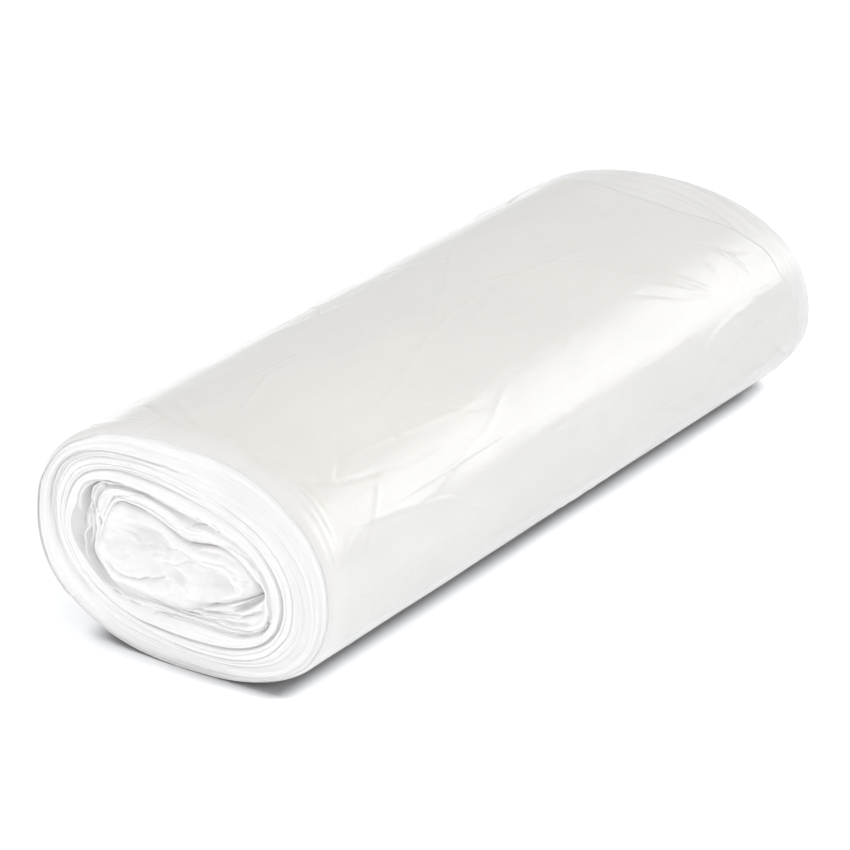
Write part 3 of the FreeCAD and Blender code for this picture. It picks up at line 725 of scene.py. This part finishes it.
# small marks and tucks in the bands
TUCKS = [
    ([(-6, 48.7), (-9, 49.2), (-12.5, 50.4)], 0.9, 0.35), ([(-8, 51.6), (-10.5, 49.9), (-14.5, 49.3)], 0.8, 0.35),
    ([(-14, 50.8), (-17, 49.6), (-15.4, 48.4)], 0.7, 0.3),
    ([(9, 16.5), (5, 16.6), (1, 17.1)], 0.8, 0.28), ([(17, 17.6), (13.5, 17.2)], 0.8, 0.28),
    ([(23.5, 19.5), (20, 18.8)], 1.0, 0.3), ([(-29.5, 19.5), (-31.5, 21), (-32.5, 24)], 1.2, 0.35),
    ([(-20.5, 16.2), (-25.5, 17.5)], 0.8, 0.28), ([(-6, 21), (-15.5, 21.3), (-22, 22.5), (-26, 24), (-30, 26.5)], 1.4, 0.4),
    ([(14.5, 21.3), (6, 19.7), (-2, 19.3), (-12, 19.2), (-20, 19.8), (-27, 21.2)], 1.3, 0.4),
    ([(-5.5, 42.6), (-11, 43.5), (-16, 43.9)], 1.0, 0.35), ([(8, 53.4), (14, 54.2), (20, 54.9), (26, 54.2)], 1.2, 0.4),
    ([(31.5, 44), (32, 41), (31.5, 36), (30, 32.5), (28.7, 28)], 0.9, 0.4), ([(33.6, 47), (33, 43), (34.6, 40)], 1.4, 0.35),
    ([(28.2, 52.2), (27.0, 51.2)], 2.2, 0.5), ([(31.2, 45.0), (29.8, 42.4)], 1.8, 0.4), ([(33.6, 43.2), (33.0, 40.6)], 1.6, 0.35),
    ([(29.4, 40.8), (28.8, 38.6)], 1.4, 0.35), ([(-11.1, 23.7), (-16.6, 26.3), (-23.9, 28.4), (-30.6, 32.0)], 1.2, 0.34),
    ([(27.9, 37.0), (27.2, 43.3), (23.1, 49.2), (15.5, 52.6), (6.3, 53.2)], 0.6, 0.30), ([(-17.9, 45.4), (-24.6, 43.9), (-28.6, 40.4), (-30.6, 36.4)], 0.7, 0.30),
]
for k, (points, depth, width) in enumerate(TUCKS):
    H += crease(bend(points, 0.35, 7.7 * k), 0.85 * depth, width)
# fine stepping of the turns, which follows the winding
flat_zone = smooth((inward_mm - 3.5) / 2.0) * (1 - smooth((lev - 5.6) / 0.4))
v60, p60 = around(ARC, ngirth, 60.0)
v34, p34 = around(ARC, ngirth, 34.0)
v65, p65 = around(ARC, ngirth, 6.5)
H += flat_zone * 0.13 * n_small(WIND / 0.85 + 0.7 * n_mid(WIND / 9.0, v34, p34), v60, p60)
H += flat_zone * 0.20 * n_mid(WIND / 2.3 + 9, v34, p34)
H += flat_zone * 0.06 * n_small(WIND / 2.4 + 40, v65, p65)
rim_zone = smooth(inward_mm / 1.0) * (1 - smooth((inward_mm - 6.0) / 3.0))
H += rim_zone * 0.09 * n_small(WIND / 0.9, v60, p60)
H = np.maximum(H, -15.5)

Xn = -LENGTH / 2 - H
# keep the loose folds off the floor and inside the flat underside
Zn = np.maximum(Zn, 0.35)
# hidden skin under the outermost turn, then a hidden back
verts = [np.stack([Xn.ravel(), Yn.ravel(), Zn.ravel()], axis=-1)]
NV = ngirth / 2 - np.abs(narc - ngirth / 2)      # the same value on both sides of the columns' start
uvs = [np.stack([(np.where(lev > 5.98, 400.0 + WIND, 100.0 + WIND)).ravel(), np.broadcast_to(NV, lev.shape).ravel()], axis=-1)]
nrows = len(row_levels)
count = nrows * NCOLS
quads = [grid_quads(nrows, NCOLS, flip=False)]
centre = count
verts.append(np.array([[float(Xn[-1].mean()), 0.0, POLE_Z]]))
uvs.append(np.array([[400.0, 0.0]]))
count += 1
yb, zb, nyb, nzb = skin_radius(ndeg)
sk = []
for x, inset in ((-LENGTH / 2 + RIM + 1.0, 0.12), (-LENGTH / 2 + 9.0, 0.9), (-LENGTH / 2 + 19.5, 2.4)):
    verts.append(np.stack([np.full(NCOLS, x), yb - nyb * inset, np.maximum(zb - nzb * inset, 0.35)], axis=-1))
    uvs.append(np.stack([np.full(NCOLS, 100 + RM.max() + x + 140), NV], axis=-1))
    sk.append(count)
    count += NCOLS
back_c = count
verts.append(np.array([[-LENGTH / 2 + 19.5, 0.0, POLE_Z]]))
uvs.append(np.array([[200.0, 0.0]]))
count += 1


def join_n(a, b):
    c = np.arange(NCOLS)
    n = (c + 1) % NCOLS
    return np.stack([a + c, a + n, b + n, b + c], axis=-1)


quads += [join_n(sk[0], 0), join_n(sk[1], sk[0]), join_n(sk[2], sk[1])]
tris = np.concatenate([fan((nrows - 1) * NCOLS, NCOLS, centre), fan(sk[2], NCOLS, back_c, flip=True)])
near_turns = make_mesh("near_end_turns", np.concatenate(verts), np.concatenate(quads), tris, np.concatenate(uvs))

# ------------------------------------------------------------------------------------
# the turns at the far end: soft shoulder, crept turns, plainer spiral
# ------------------------------------------------------------------------------------
FCOLS = 480
fdeg, farc, fgirth = even_angles(FCOLS)
fy, fz, fny, fnz = skin_radius(fdeg)
frad = np.radians(fdeg)
f0 = np.hypot(fy / SY, (fz - POLE_Z) / SZ)
FAR_R = 12.5
rows_list = []                     # (x, y, z, u) rows from the hidden front to the centre
inset0 = 0.42
back = (fdeg - TAIL_ANGLE) % 360.0
fstep = np.where(back > 360 - TAIL_SPAN, TAIL_STEP * (1 - (360 - back) / TAIL_SPAN), 0.0)


def far_plane(y, z):
    return LENGTH / 2 + FAR_TILT_Y * y + FAR_TILT_Z * (z - HEIGHT / 2)


def f_ring(u, scale):
    v, period = around(farc, fgirth, scale)
    return n_mid(u, v, period)


v7, p7 = around(farc, fgirth, 7.0)
v30, p30 = around(farc, fgirth, 30.0)
v18, p18 = around(farc, fgirth, 18.0)
xs, ys, zs, us = [], [], [], []
# hidden front, then the shoulder's skin
for x, inset in ((79.0, 2.6), (81.0, 0.6)):
    xs.append(np.full(FCOLS, x)); ys.append(fy - fny * inset); zs.append(fz - fnz * inset); us.append(np.full(FCOLS, x))
base_x = far_plane(fy, fz) - FAR_R
for k in range(56):
    share = k / 55
    x = 96.0 + (base_x - 96.0) * share
    # inner turns' edges on the shoulder: each stands a little lower than the one over it
    reach = (x - periodic(WRAP_EDGE, fdeg))
    step = 0.14 * smooth((reach - 4.0 - 1.0 * f_ring(5.5, 40.0)) / 1.6) + 0.14 * smooth((reach - 9.0 - 1.6 * f_ring(15.5, 40.0)) / 2.2)
    lump = 0.10 * fbm(n_mid, x / 14.0 + 70, v18, 2, period=p18)
    off = -(inset0 + step) + lump * smooth((fz - 1.0) / 5.0)
    xs.append(x); ys.append(fy + fny * off); zs.append(fz + fnz * off); us.append(x)
tail_step = inset0 + 0.14 * smooth((base_x - periodic(WRAP_EDGE, fdeg) - 4.0 - 1.0 * f_ring(5.5, 40.0)) / 1.6) \
    + 0.14 * smooth((base_x - periodic(WRAP_EDGE, fdeg) - 9.0 - 1.6 * f_ring(15.5, 40.0)) / 2.2)
for k in range(1, 26):
    phi = math.radians(90.0 * k / 25)
    back, inward = FAR_R * (1 - math.sin(phi)), FAR_R * (1 - math.cos(phi))
    inward_all = tail_step + inward - fstep * smooth(k / 25)
    lump = 0.10 * fbm(n_mid, (base_x + FAR_R * phi) / 14.0 + 70, v18, 2, period=p18)
    # rolled turn edges on the shoulder
    edge = 0.10 * np.sin((k * 0.62) + 2.2 * f_ring(25.5, 34.0)) * math.sin(phi)
    yy2, zz2 = fy - fny * inward_all, fz - fnz * inward_all
    x = far_plane(yy2, zz2) - back
    xs.append(x + (lump + edge) * math.sin(phi))
    ys.append(yy2 + fny * lump * math.cos(phi))
    zs.append(zz2 + fnz * lump * math.cos(phi))
    us.append(base_x + FAR_R * phi)
# the wound face
ring_y, ring_z = fy - fny * (FAR_R + inset0 - fstep), fz - fnz * (FAR_R + inset0 - fstep)
fr = np.hypot(ring_y, ring_z - POLE_Z)
fang = np.arctan2(ring_z - POLE_Z, ring_y)
turns = 9.0
for k in range(1, 80):
    share = 1 - k / 80.0
    y = ring_y * share
    z = POLE_Z + (ring_z - POLE_Z) * share
    rmm = fr * share
    # pitch of the wound bundles and their small grooves
    mean = share * float(fr.mean())
    phase = mean / 2.6 + fdeg / 360.0
    phase = phase + 0.22 * n_mid(mean / 14.0, v30, p30)
    frac = phase - np.floor(phase)
    turn = np.floor(phase) - (fdeg - START) / 360.0      # runs on from one turn to the next
    line = np.minimum(frac, 1 - frac) * 2.6
    fade = smooth(share / 0.12) * smooth((1 - share) / 0.02)
    h = -1.15 / (1 + (line / 0.30) ** 3) * fade * (0.55 + 0.45 * n_mid(turn * 3.7, v30, p30))
    h = h + 0.16 * n_small(mean / 0.9, v30, p30) * fade
    h = h + 0.42 * n_mid(turn * 1.9 + 4, v30, p30) * fade
    h = h + 0.26 * fbm(n_mid, y / 5.0 + 33, z / 4.0 + 17, 3)
    # a few turns stand further out than their neighbours
    h = h + 0.45 * n_big(turn * 0.8 + 2, v30, p30) * fade
    # slit left by the winding spindle
    mid = 35.2 + 1.3 * np.sin(y / 7.0)
    slit = np.exp(-np.abs((z - mid) / 1.1) ** 3) * smooth((22 - np.abs(y)) / 8.0)
    h = h - 6.0 * slit
    h = h + 0.5 * np.exp(-np.abs((z - mid) / 5.0) ** 2) * smooth((30 - np.abs(y)) / 10.0)
    xs.append(far_plane(y, z) + h); ys.append(y); zs.append(z); us.append(base_x + FAR_R * math.pi / 2 + float(fr.mean()) - mean)
XF, YF, ZF, UF = np.array(xs), np.array(ys), np.maximum(np.array(zs), 0.35), np.array(us)
frows = XF.shape[0]
verts = [np.stack([XF.ravel(), YF.ravel(), ZF.ravel()], axis=-1),
         np.array([[float(XF[-1].mean()), 0.0, POLE_Z], [79.0, 0.0, POLE_Z]])]
FV = fgirth / 2 - np.abs(farc - fgirth / 2)
uvs = [np.stack([UF.ravel(), np.broadcast_to(FV, UF.shape).ravel()], axis=-1), np.array([[220.0, 0.0], [79.0, 0.0]])]
tris = np.concatenate([fan((frows - 1) * FCOLS, FCOLS, frows * FCOLS), fan(0, FCOLS, frows * FCOLS + 1, flip=True)])
far_turns = make_mesh("far_end_turns", np.concatenate(verts), grid_quads(frows, FCOLS), tris, np.concatenate(uvs))


# ------------------------------------------------------------------------------------
# materials: milky natural-white film
# ------------------------------------------------------------------------------------
def film(name, base, deep, rough, fine, edge_lines=False, near_white=None, glow=(0.22, 0.0014), creased=0.0,
         far_painted_shade=None):
    mat = bpy.data.materials.new(name)
    mat.use_nodes = True
    nt = mat.node_tree
    nt.nodes.clear()
    N = nt.nodes.new
    L = nt.links.new
    out = N("ShaderNodeOutputMaterial")
    bsdf = N("ShaderNodeBsdfPrincipled")
    L(bsdf.outputs["BSDF"], out.inputs["Surface"])
    bsdf.inputs["IOR"].default_value = 1.5
    bsdf.inputs["Specular IOR Level"].default_value = 0.40
    bsdf.inputs["Subsurface Weight"].default_value = glow[0]
    bsdf.inputs["Subsurface Radius"].default_value = (1.0, 0.97, 0.92)
    bsdf.inputs["Subsurface Scale"].default_value = glow[1]
    bsdf.inputs["Sheen Weight"].default_value = 0.05
    bsdf.inputs["Sheen Roughness"].default_value = 0.4
    coord = N("ShaderNodeTexCoord")
    uv = N("ShaderNodeUVMap")
    uv.uv_map = "Film"

    def mapped(source, scale):
        mp = N("ShaderNodeMapping")
        mp.inputs["Scale"].default_value = scale
        L(source, mp.inputs["Vector"])
        return mp.outputs["Vector"]

    def noise(vector, scale, detail, roughness=0.5):
        n = N("ShaderNodeTexNoise")
        n.inputs["Scale"].default_value = scale
        n.inputs["Detail"].default_value = detail
        n.inputs["Roughness"].default_value = roughness
        L(vector, n.inputs["Vector"])
        return n.outputs["Fac"]

    def ramp(source, stops):
        r = N("ShaderNodeValToRGB")
        r.color_ramp.elements[0].position, r.color_ramp.elements[0].color = stops[0][0], stops[0][1]
        r.color_ramp.elements[1].position, r.color_ramp.elements[1].color = stops[-1][0], stops[-1][1]
        for pos, col in stops[1:-1]:
            e = r.color_ramp.elements.new(pos)
            e.color = col
        L(source, r.inputs["Fac"])
        return r.outputs["Color"]

    def mix(kind, fac, a, b):
        mx = N("ShaderNodeMix")
        mx.data_type = "RGBA"
        mx.blend_type = kind
        if isinstance(fac, float):
            mx.inputs[0].default_value = fac
        else:
            L(fac, mx.inputs[0])
        L(a, mx.inputs[6])
        L(b, mx.inputs[7])
        return mx.outputs[2]

    obj_v = coord.outputs["Object"]
    uv_v = uv.outputs["UV"]
    if edge_lines:
        # the loose heart has no wound edges
        su = N("ShaderNodeSeparateXYZ")
        L(uv_v, su.inputs["Vector"])
        oh = N("ShaderNodeMapRange")
        oh.inputs["From Min"].default_value, oh.inputs["From Max"].default_value = 250.0, 300.0
        oh.inputs["To Min"].default_value, oh.inputs["To Max"].default_value = 0.9, 0.0
        L(su.outputs["X"], oh.inputs["Value"])
        outside_heart = oh.outputs["Result"]
    # milky cloud: more or fewer layers of film under the skin
    cloud = noise(mapped(obj_v, (22, 38, 38)), 1.0, 4.0, 0.55)
    tint = ramp(cloud, [(0.30, (*deep, 1)), (0.52, (*[(a + b) / 2 for a, b in zip(base, deep)], 1)), (0.72, (*base, 1))])
    if far_painted_shade is not None:
        # painted shade: the film's colour is darkened towards the far end, where the lamps light it more strongly
        sp = N("ShaderNodeSeparateXYZ")
        L(obj_v, sp.inputs["Vector"])
        far_shade_run = N("ShaderNodeMapRange")
        far_shade_run.inputs["From Min"].default_value, far_shade_run.inputs["From Max"].default_value = -0.125, 0.135
        L(sp.outputs["X"], far_shade_run.inputs["Value"])
        tint = mix("MULTIPLY", 1.0, tint, ramp(far_shade_run.outputs["Result"], [(0.0, (1, 1, 1, 1)), (1.0, (*far_painted_shade, 1))]))
    # faint streaks along the film's edges (round the roll) and specks
    streak = noise(mapped(uv_v, (0.9, 0.035, 1) if edge_lines else (0.05, 0.5, 1)), 1.0, 5.0, 0.6)
    streak_c = ramp(streak, [(0.32, (0.945, 0.945, 0.942, 1)), (0.66, (1, 1, 1, 1))])
    colour = mix("MULTIPLY", outside_heart if edge_lines else 0.18, tint, streak_c)
    if edge_lines:
        # the cut edges of the film: fine light and dark lines that follow the winding
        lines = noise(mapped(uv_v, (0.95, 0.012, 1)), 1.0, 3.0, 0.7)
        colour = mix("MULTIPLY", outside_heart, colour, ramp(lines, [(0.36, (0.95, 0.948, 0.947, 1)), (0.52, (1, 1, 1, 1))]))
        # some bundles of turns are a little greyer than others
        bundles = noise(mapped(uv_v, (0.30, 0.006, 1)), 1.0, 1.0, 0.4)
        colour = mix("MULTIPLY", outside_heart, colour, ramp(bundles, [(0.38, (0.942, 0.940, 0.944, 1)), (0.60, (1, 1, 1, 1))]))
        # light goes further in the loose heart's few layers, so it is a little duller
        inside = N("ShaderNodeMath")
        inside.operation = "SUBTRACT"
        inside.inputs[0].default_value = 0.9
        L(outside_heart, inside.inputs[1])
        dull = N("ShaderNodeRGB")
        dull.outputs[0].default_value = (0.925, 0.925, 0.925, 1)
        colour = mix("MULTIPLY", inside.outputs[0], colour, dull.outputs[0])
    if near_white is not None:
        # more layers show through close to the rolled rim, so the film is whiter there
        sx = N("ShaderNodeSeparateXYZ")
        L(obj_v, sx.inputs["Vector"])
        fade = N("ShaderNodeMapRange")
        fade.interpolation_type = "SMOOTHSTEP"
        fade.inputs["From Min"].default_value, fade.inputs["From Max"].default_value = -0.1375, -0.1225
        fade.inputs["To Min"].default_value, fade.inputs["To Max"].default_value = 1.0, 0.0
        wob = N("ShaderNodeMath")
        wob.operation = "MULTIPLY_ADD"
        wob.inputs[1].default_value = 0.010
        L(noise(mapped(uv_v, (0.05, 0.10, 1)), 1.0, 2.0, 0.5), wob.inputs[0])
        L(sx.outputs["X"], wob.inputs[2])
        L(wob.outputs["Value"], fade.inputs["Value"])
        white = N("ShaderNodeRGB")
        white.outputs[0].default_value = (*near_white, 1)
        colour = mix("MIX", fade.outputs["Result"], colour, white.outputs[0])
    L(colour, bsdf.inputs["Base Color"])
    rough_n = noise(mapped(obj_v, (60, 90, 90)), 1.0, 3.0, 0.5)
    rr_ = N("ShaderNodeMapRange")
    rr_.inputs["From Min"].default_value, rr_.inputs["From Max"].default_value = 0.3, 0.7
    rr_.inputs["To Min"].default_value, rr_.inputs["To Max"].default_value = rough - 0.04, rough + 0.06
    L(rough_n, rr_.inputs["Value"])
    L(rr_.outputs["Result"], bsdf.inputs["Roughness"])
    # surface relief: long soft pulls of the film, fine pucker and the film edges' fine lines
    b1 = N("ShaderNodeBump")
    b1.inputs["Strength"].default_value = 1.0
    b1.inputs["Distance"].default_value = 0.00018 * fine
    warp = N("ShaderNodeTexNoise")
    warp.inputs["Scale"].default_value = 26.0
    warp.inputs["Detail"].default_value = 2.0
    L(obj_v, warp.inputs["Vector"])
    add = N("ShaderNodeVectorMath")
    add.operation = "MULTIPLY_ADD"
    add.inputs[1].default_value = (0.030, 0.020, 0.020)
    L(warp.outputs["Color"], add.inputs[0])
    L(obj_v, add.inputs[2])
    L(noise(mapped(add.outputs["Vector"], (14, 70, 70)), 1.0, 4.0, 0.55), b1.inputs["Height"])
    b2 = N("ShaderNodeBump")
    b2.inputs["Strength"].default_value = 1.0
    b2.inputs["Distance"].default_value = 0.00010 * fine
    L(noise(mapped(obj_v, (90, 260, 260)), 1.0, 5.0, 0.6), b2.inputs["Height"])
    L(b1.outputs["Normal"], b2.inputs["Normal"])
    last_n = b2.outputs["Normal"]
    if edge_lines:
        b3 = N("ShaderNodeBump")
        b3.inputs["Strength"].default_value = 1.0
        b3.inputs["Distance"].default_value = 0.00032
        L(outside_heart, b3.inputs["Strength"])
        L(noise(mapped(uv_v, (1.15, 0.02, 1)), 1.0, 3.0, 0.65), b3.inputs["Height"])
        L(last_n, b3.inputs["Normal"])
        last_n = b3.outputs["Normal"]
    if creased:
        # long, thin, sharp creases of the stretched film, a few in each direction
        def thin_lines(vector, scale, seed_shift, width, cover, turn):
            turned = N("ShaderNodeMapping")
            turned.inputs["Rotation"].default_value = (0.0, 0.5 * turn, turn)
            L(vector, turned.inputs["Vector"])
            shifted = N("ShaderNodeMapping")
            shifted.inputs["Location"].default_value = seed_shift
            shifted.inputs["Scale"].default_value = scale
            L(turned.outputs["Vector"], shifted.inputs["Vector"])
            n = noise(shifted.outputs["Vector"], 1.0, 1.0, 0.4)
            d = N("ShaderNodeMath")
            d.operation = "SUBTRACT"
            d.inputs[1].default_value = 0.5
            L(n, d.inputs[0])
            ab = N("ShaderNodeMath")
            ab.operation = "ABSOLUTE"
            L(d.outputs[0], ab.inputs[0])
            line = N("ShaderNodeMapRange")
            line.interpolation_type = "SMOOTHSTEP"
            line.inputs["From Min"].default_value, line.inputs["From Max"].default_value = 0.0, width
            line.inputs["To Min"].default_value, line.inputs["To Max"].default_value = 1.0, 0.0
            L(ab.outputs[0], line.inputs["Value"])
            spots = N("ShaderNodeMapRange")
            spots.interpolation_type = "SMOOTHSTEP"
            spots.inputs["From Min"].default_value, spots.inputs["From Max"].default_value = cover, cover + 0.12
            moved = N("ShaderNodeMapping")
            moved.inputs["Location"].default_value = (seed_shift[1], seed_shift[0], 3.0)
            moved.inputs["Scale"].default_value = (14, 22, 22)
            L(vector, moved.inputs["Vector"])
            L(noise(moved.outputs["Vector"], 1.0, 1.0, 0.4), spots.inputs["Value"])
            both = N("ShaderNodeMath")
            both.operation = "MULTIPLY"
            L(line.outputs["Result"], both.inputs[0])
            L(spots.outputs["Result"], both.inputs[1])
            return both.outputs[0]

        total = None
        for scale, shift, width, cover, turn in (((3.5, 26, 26), (1.3, 4.1, 0.2), 0.022, 0.50, 0.52),
                                                 ((3.0, 30, 30), (7.7, 2.2, 5.5), 0.024, 0.52, -0.38),
                                                 ((3.0, 34, 34), (3.1, 9.4, 2.7), 0.024, 0.52, 0.10)):
            one = thin_lines(obj_v, scale, shift, width, cover, turn)
            if total is None:
                total = one
            else:
                both = N("ShaderNodeMath")
                both.operation = "ADD"
                L(total, both.inputs[0])
                L(one, both.inputs[1])
                total = both.outputs[0]
        b4 = N("ShaderNodeBump")
        b4.inputs["Strength"].default_value = 1.0
        b4.inputs["Distance"].default_value = creased
        L(total, b4.inputs["Height"])
        L(last_n, b4.inputs["Normal"])
        last_n = b4.outputs["Normal"]
    L(last_n, bsdf.inputs["Normal"])
    return mat


# the skin's colour carries painted shade towards the far end, to offset the stronger light there
skin_mat = film("film_skin", (0.534, 0.530, 0.509), (0.507, 0.503, 0.485), 0.20, 1.0, near_white=(0.552, 0.547, 0.539),
                creased=0.00012, far_painted_shade=(0.915, 0.915, 0.918))
edge_mat = film("film_edges", (0.568, 0.563, 0.561), (0.536, 0.531, 0.530), 0.38, 0.7, edge_lines=True, glow=(0.55, 0.0030))
far_mat = film("film_shoulder", (0.550, 0.547, 0.541), (0.514, 0.511, 0.506), 0.20, 0.9, edge_lines=True)
for obj, mat in ((outer_wrap, skin_mat), (near_turns, edge_mat), (far_turns, far_mat)):
    obj.data.materials.append(mat)
    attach(obj, "root")
    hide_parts("bag_roll")

# ------------------------------------------------------------------------------------
# floor and light
# ------------------------------------------------------------------------------------
floor_me = bpy.data.meshes.new("floor")
floor_me.from_pydata([(-4, -4, 0), (4, -4, 0), (4, 4, 0), (-4, 4, 0)], [], [(0, 1, 2, 3)])
floor = bpy.data.objects.new("floor", floor_me)
bpy.context.scene.collection.objects.link(floor)
fmat = bpy.data.materials.new("pale_floor")
fmat.use_nodes = True
fb = fmat.node_tree.nodes["Principled BSDF"]
FLOOR_TONE = 0.36
fb.inputs["Base Color"].default_value = (FLOOR_TONE, FLOOR_TONE * 1.01, FLOOR_TONE * 1.04, 1)
fb.inputs["Roughness"].default_value = 0.9
fb.inputs["Specular IOR Level"].default_value = 0.1
floor_me.materials.append(fmat)

SKY_WALL, SKY_FALL = 1.22, -0.36
world = bpy.data.worlds.new("studio")
bpy.context.scene.world = world
world.use_nodes = True
wn = world.node_tree
wn.nodes.clear()
wo = wn.nodes.new("ShaderNodeOutputWorld")
bg = wn.nodes.new("ShaderNodeBackground")
tc = wn.nodes.new("ShaderNodeTexCoord")
sep = wn.nodes.new("ShaderNodeSeparateXYZ")
wn.links.new(tc.outputs["Generated"], sep.inputs["Vector"])


def wmath(op, a, b, c=None):
    node = wn.nodes.new("ShaderNodeMath")
    node.operation = op
    for k, v in enumerate((a, b, c)):
        if v is None:
            continue
        if isinstance(v, float):
            node.inputs[k].default_value = v
        else:
            wn.links.new(v, node.inputs[k])
    return node.outputs[0]


# a pale room: bright walls, a duller ceiling, and less light from the far side
up_z = wmath("MAXIMUM", sep.outputs["Z"], 0.0)
walls = wmath("MULTIPLY_ADD", up_z, -SKY_FALL, SKY_WALL)
side = wmath("MULTIPLY_ADD", sep.outputs["Y"], -0.24, 1.0)
side = wmath("MINIMUM", wmath("MULTIPLY_ADD", sep.outputs["X"], -0.30, side), 1.12)
wn.links.new(wmath("MULTIPLY", walls, side), bg.inputs["Strength"])
bg.inputs["Color"].default_value = (1.0, 0.995, 0.99, 1)
wn.links.new(bg.outputs["Background"], wo.inputs["Surface"])


def area(name, place, aim, size, power, colour=(1, 1, 1)):
    light = bpy.data.lights.new(name, "AREA")
    light.shape = "RECTANGLE"
    light.size, light.size_y = size
    light.energy = power
    light.color = colour
    o = bpy.data.objects.new(name, light)
    o.location = place
    o.rotation_euler = (Vector(aim) - Vector(place)).to_track_quat("-Z", "Y").to_euler()
    bpy.context.scene.collection.objects.link(o)
    return o


def lit_only(lamp, name, *objs):
    """The lamp lights these objects only; everything still casts its shadow."""
    group = bpy.data.collections.new(name)
    for o in objs:
        group.objects.link(o)
    lamp.light_linking.receiver_collection = group


# a softbox mirrored in the front shoulder, softer at its top, a low fill for the near end
# and a raking one that brings out the turns there
area("front_top", (2.10, -1.26, 1.58), (0.0, 0.0, 0.04), (1.40, 0.50), 4.4)
area("front_right", (2.10, -1.26, 1.05), (0.0, 0.0, 0.04), (1.40, 0.56), 7.6)
area("front_low", (2.10, -1.26, 0.50), (0.0, 0.0, 0.04), (1.40, 0.54), 8.6)
fill = area("near_left", (-1.30, -0.50, 0.26), (-0.12, 0.0, 0.03), (0.9, 0.5), 4.6)
lit_only(fill, "near_end_fill", near_turns)
rake = area("near_rake", (-0.85, 0.95, 0.55), (-0.14, 0.0, 0.035), (0.35, 0.35), 2.8)
lit_only(rake, "near_end_only", near_turns)

# a wide lamp for the floor alone burns it out to white and leaves it dark only under the
# roll's overhanging side and close to its near end; a small one does the same on the left
lamp = bpy.data.lights.new("floor_lamp", "SUN")
el, az = math.radians(51), math.radians(-80)
lamp.energy = 0.74 * math.pi / (FLOOR_TONE * math.sin(el))
lamp.angle = math.radians(18)
o = bpy.data.objects.new("floor_lamp", lamp)
towards = Vector((math.cos(az) * math.cos(el), math.sin(az) * math.cos(el), math.sin(el)))
o.rotation_euler = towards.to_track_quat("Z", "Y").to_euler()
o.location = towards * 2
bpy.context.scene.collection.objects.link(o)
lit_only(o, "floor_only", floor)
spot = bpy.data.lights.new("floor_spot", "SPOT")
spot.energy = 130.0
spot.spot_size = math.radians(34)
spot.spot_blend = 0.8
spot.shadow_soft_size = 0.26
o = bpy.data.objects.new("floor_spot", spot)
target = Vector((-0.185, 0.115, 0.0))
o.location = target + Vector((-0.08, 0.60, 0.76))
o.rotation_euler = (target - o.location).to_track_quat("-Z", "Y").to_euler()
bpy.context.scene.collection.objects.link(o)
lit_only(o, "floor_only_left", floor)

scene = bpy.context.scene
scene.view_settings.view_transform = "Standard"
scene.view_settings.look = "None"
scene.view_settings.exposure = 0.0
scene.view_settings.gamma = 1.0
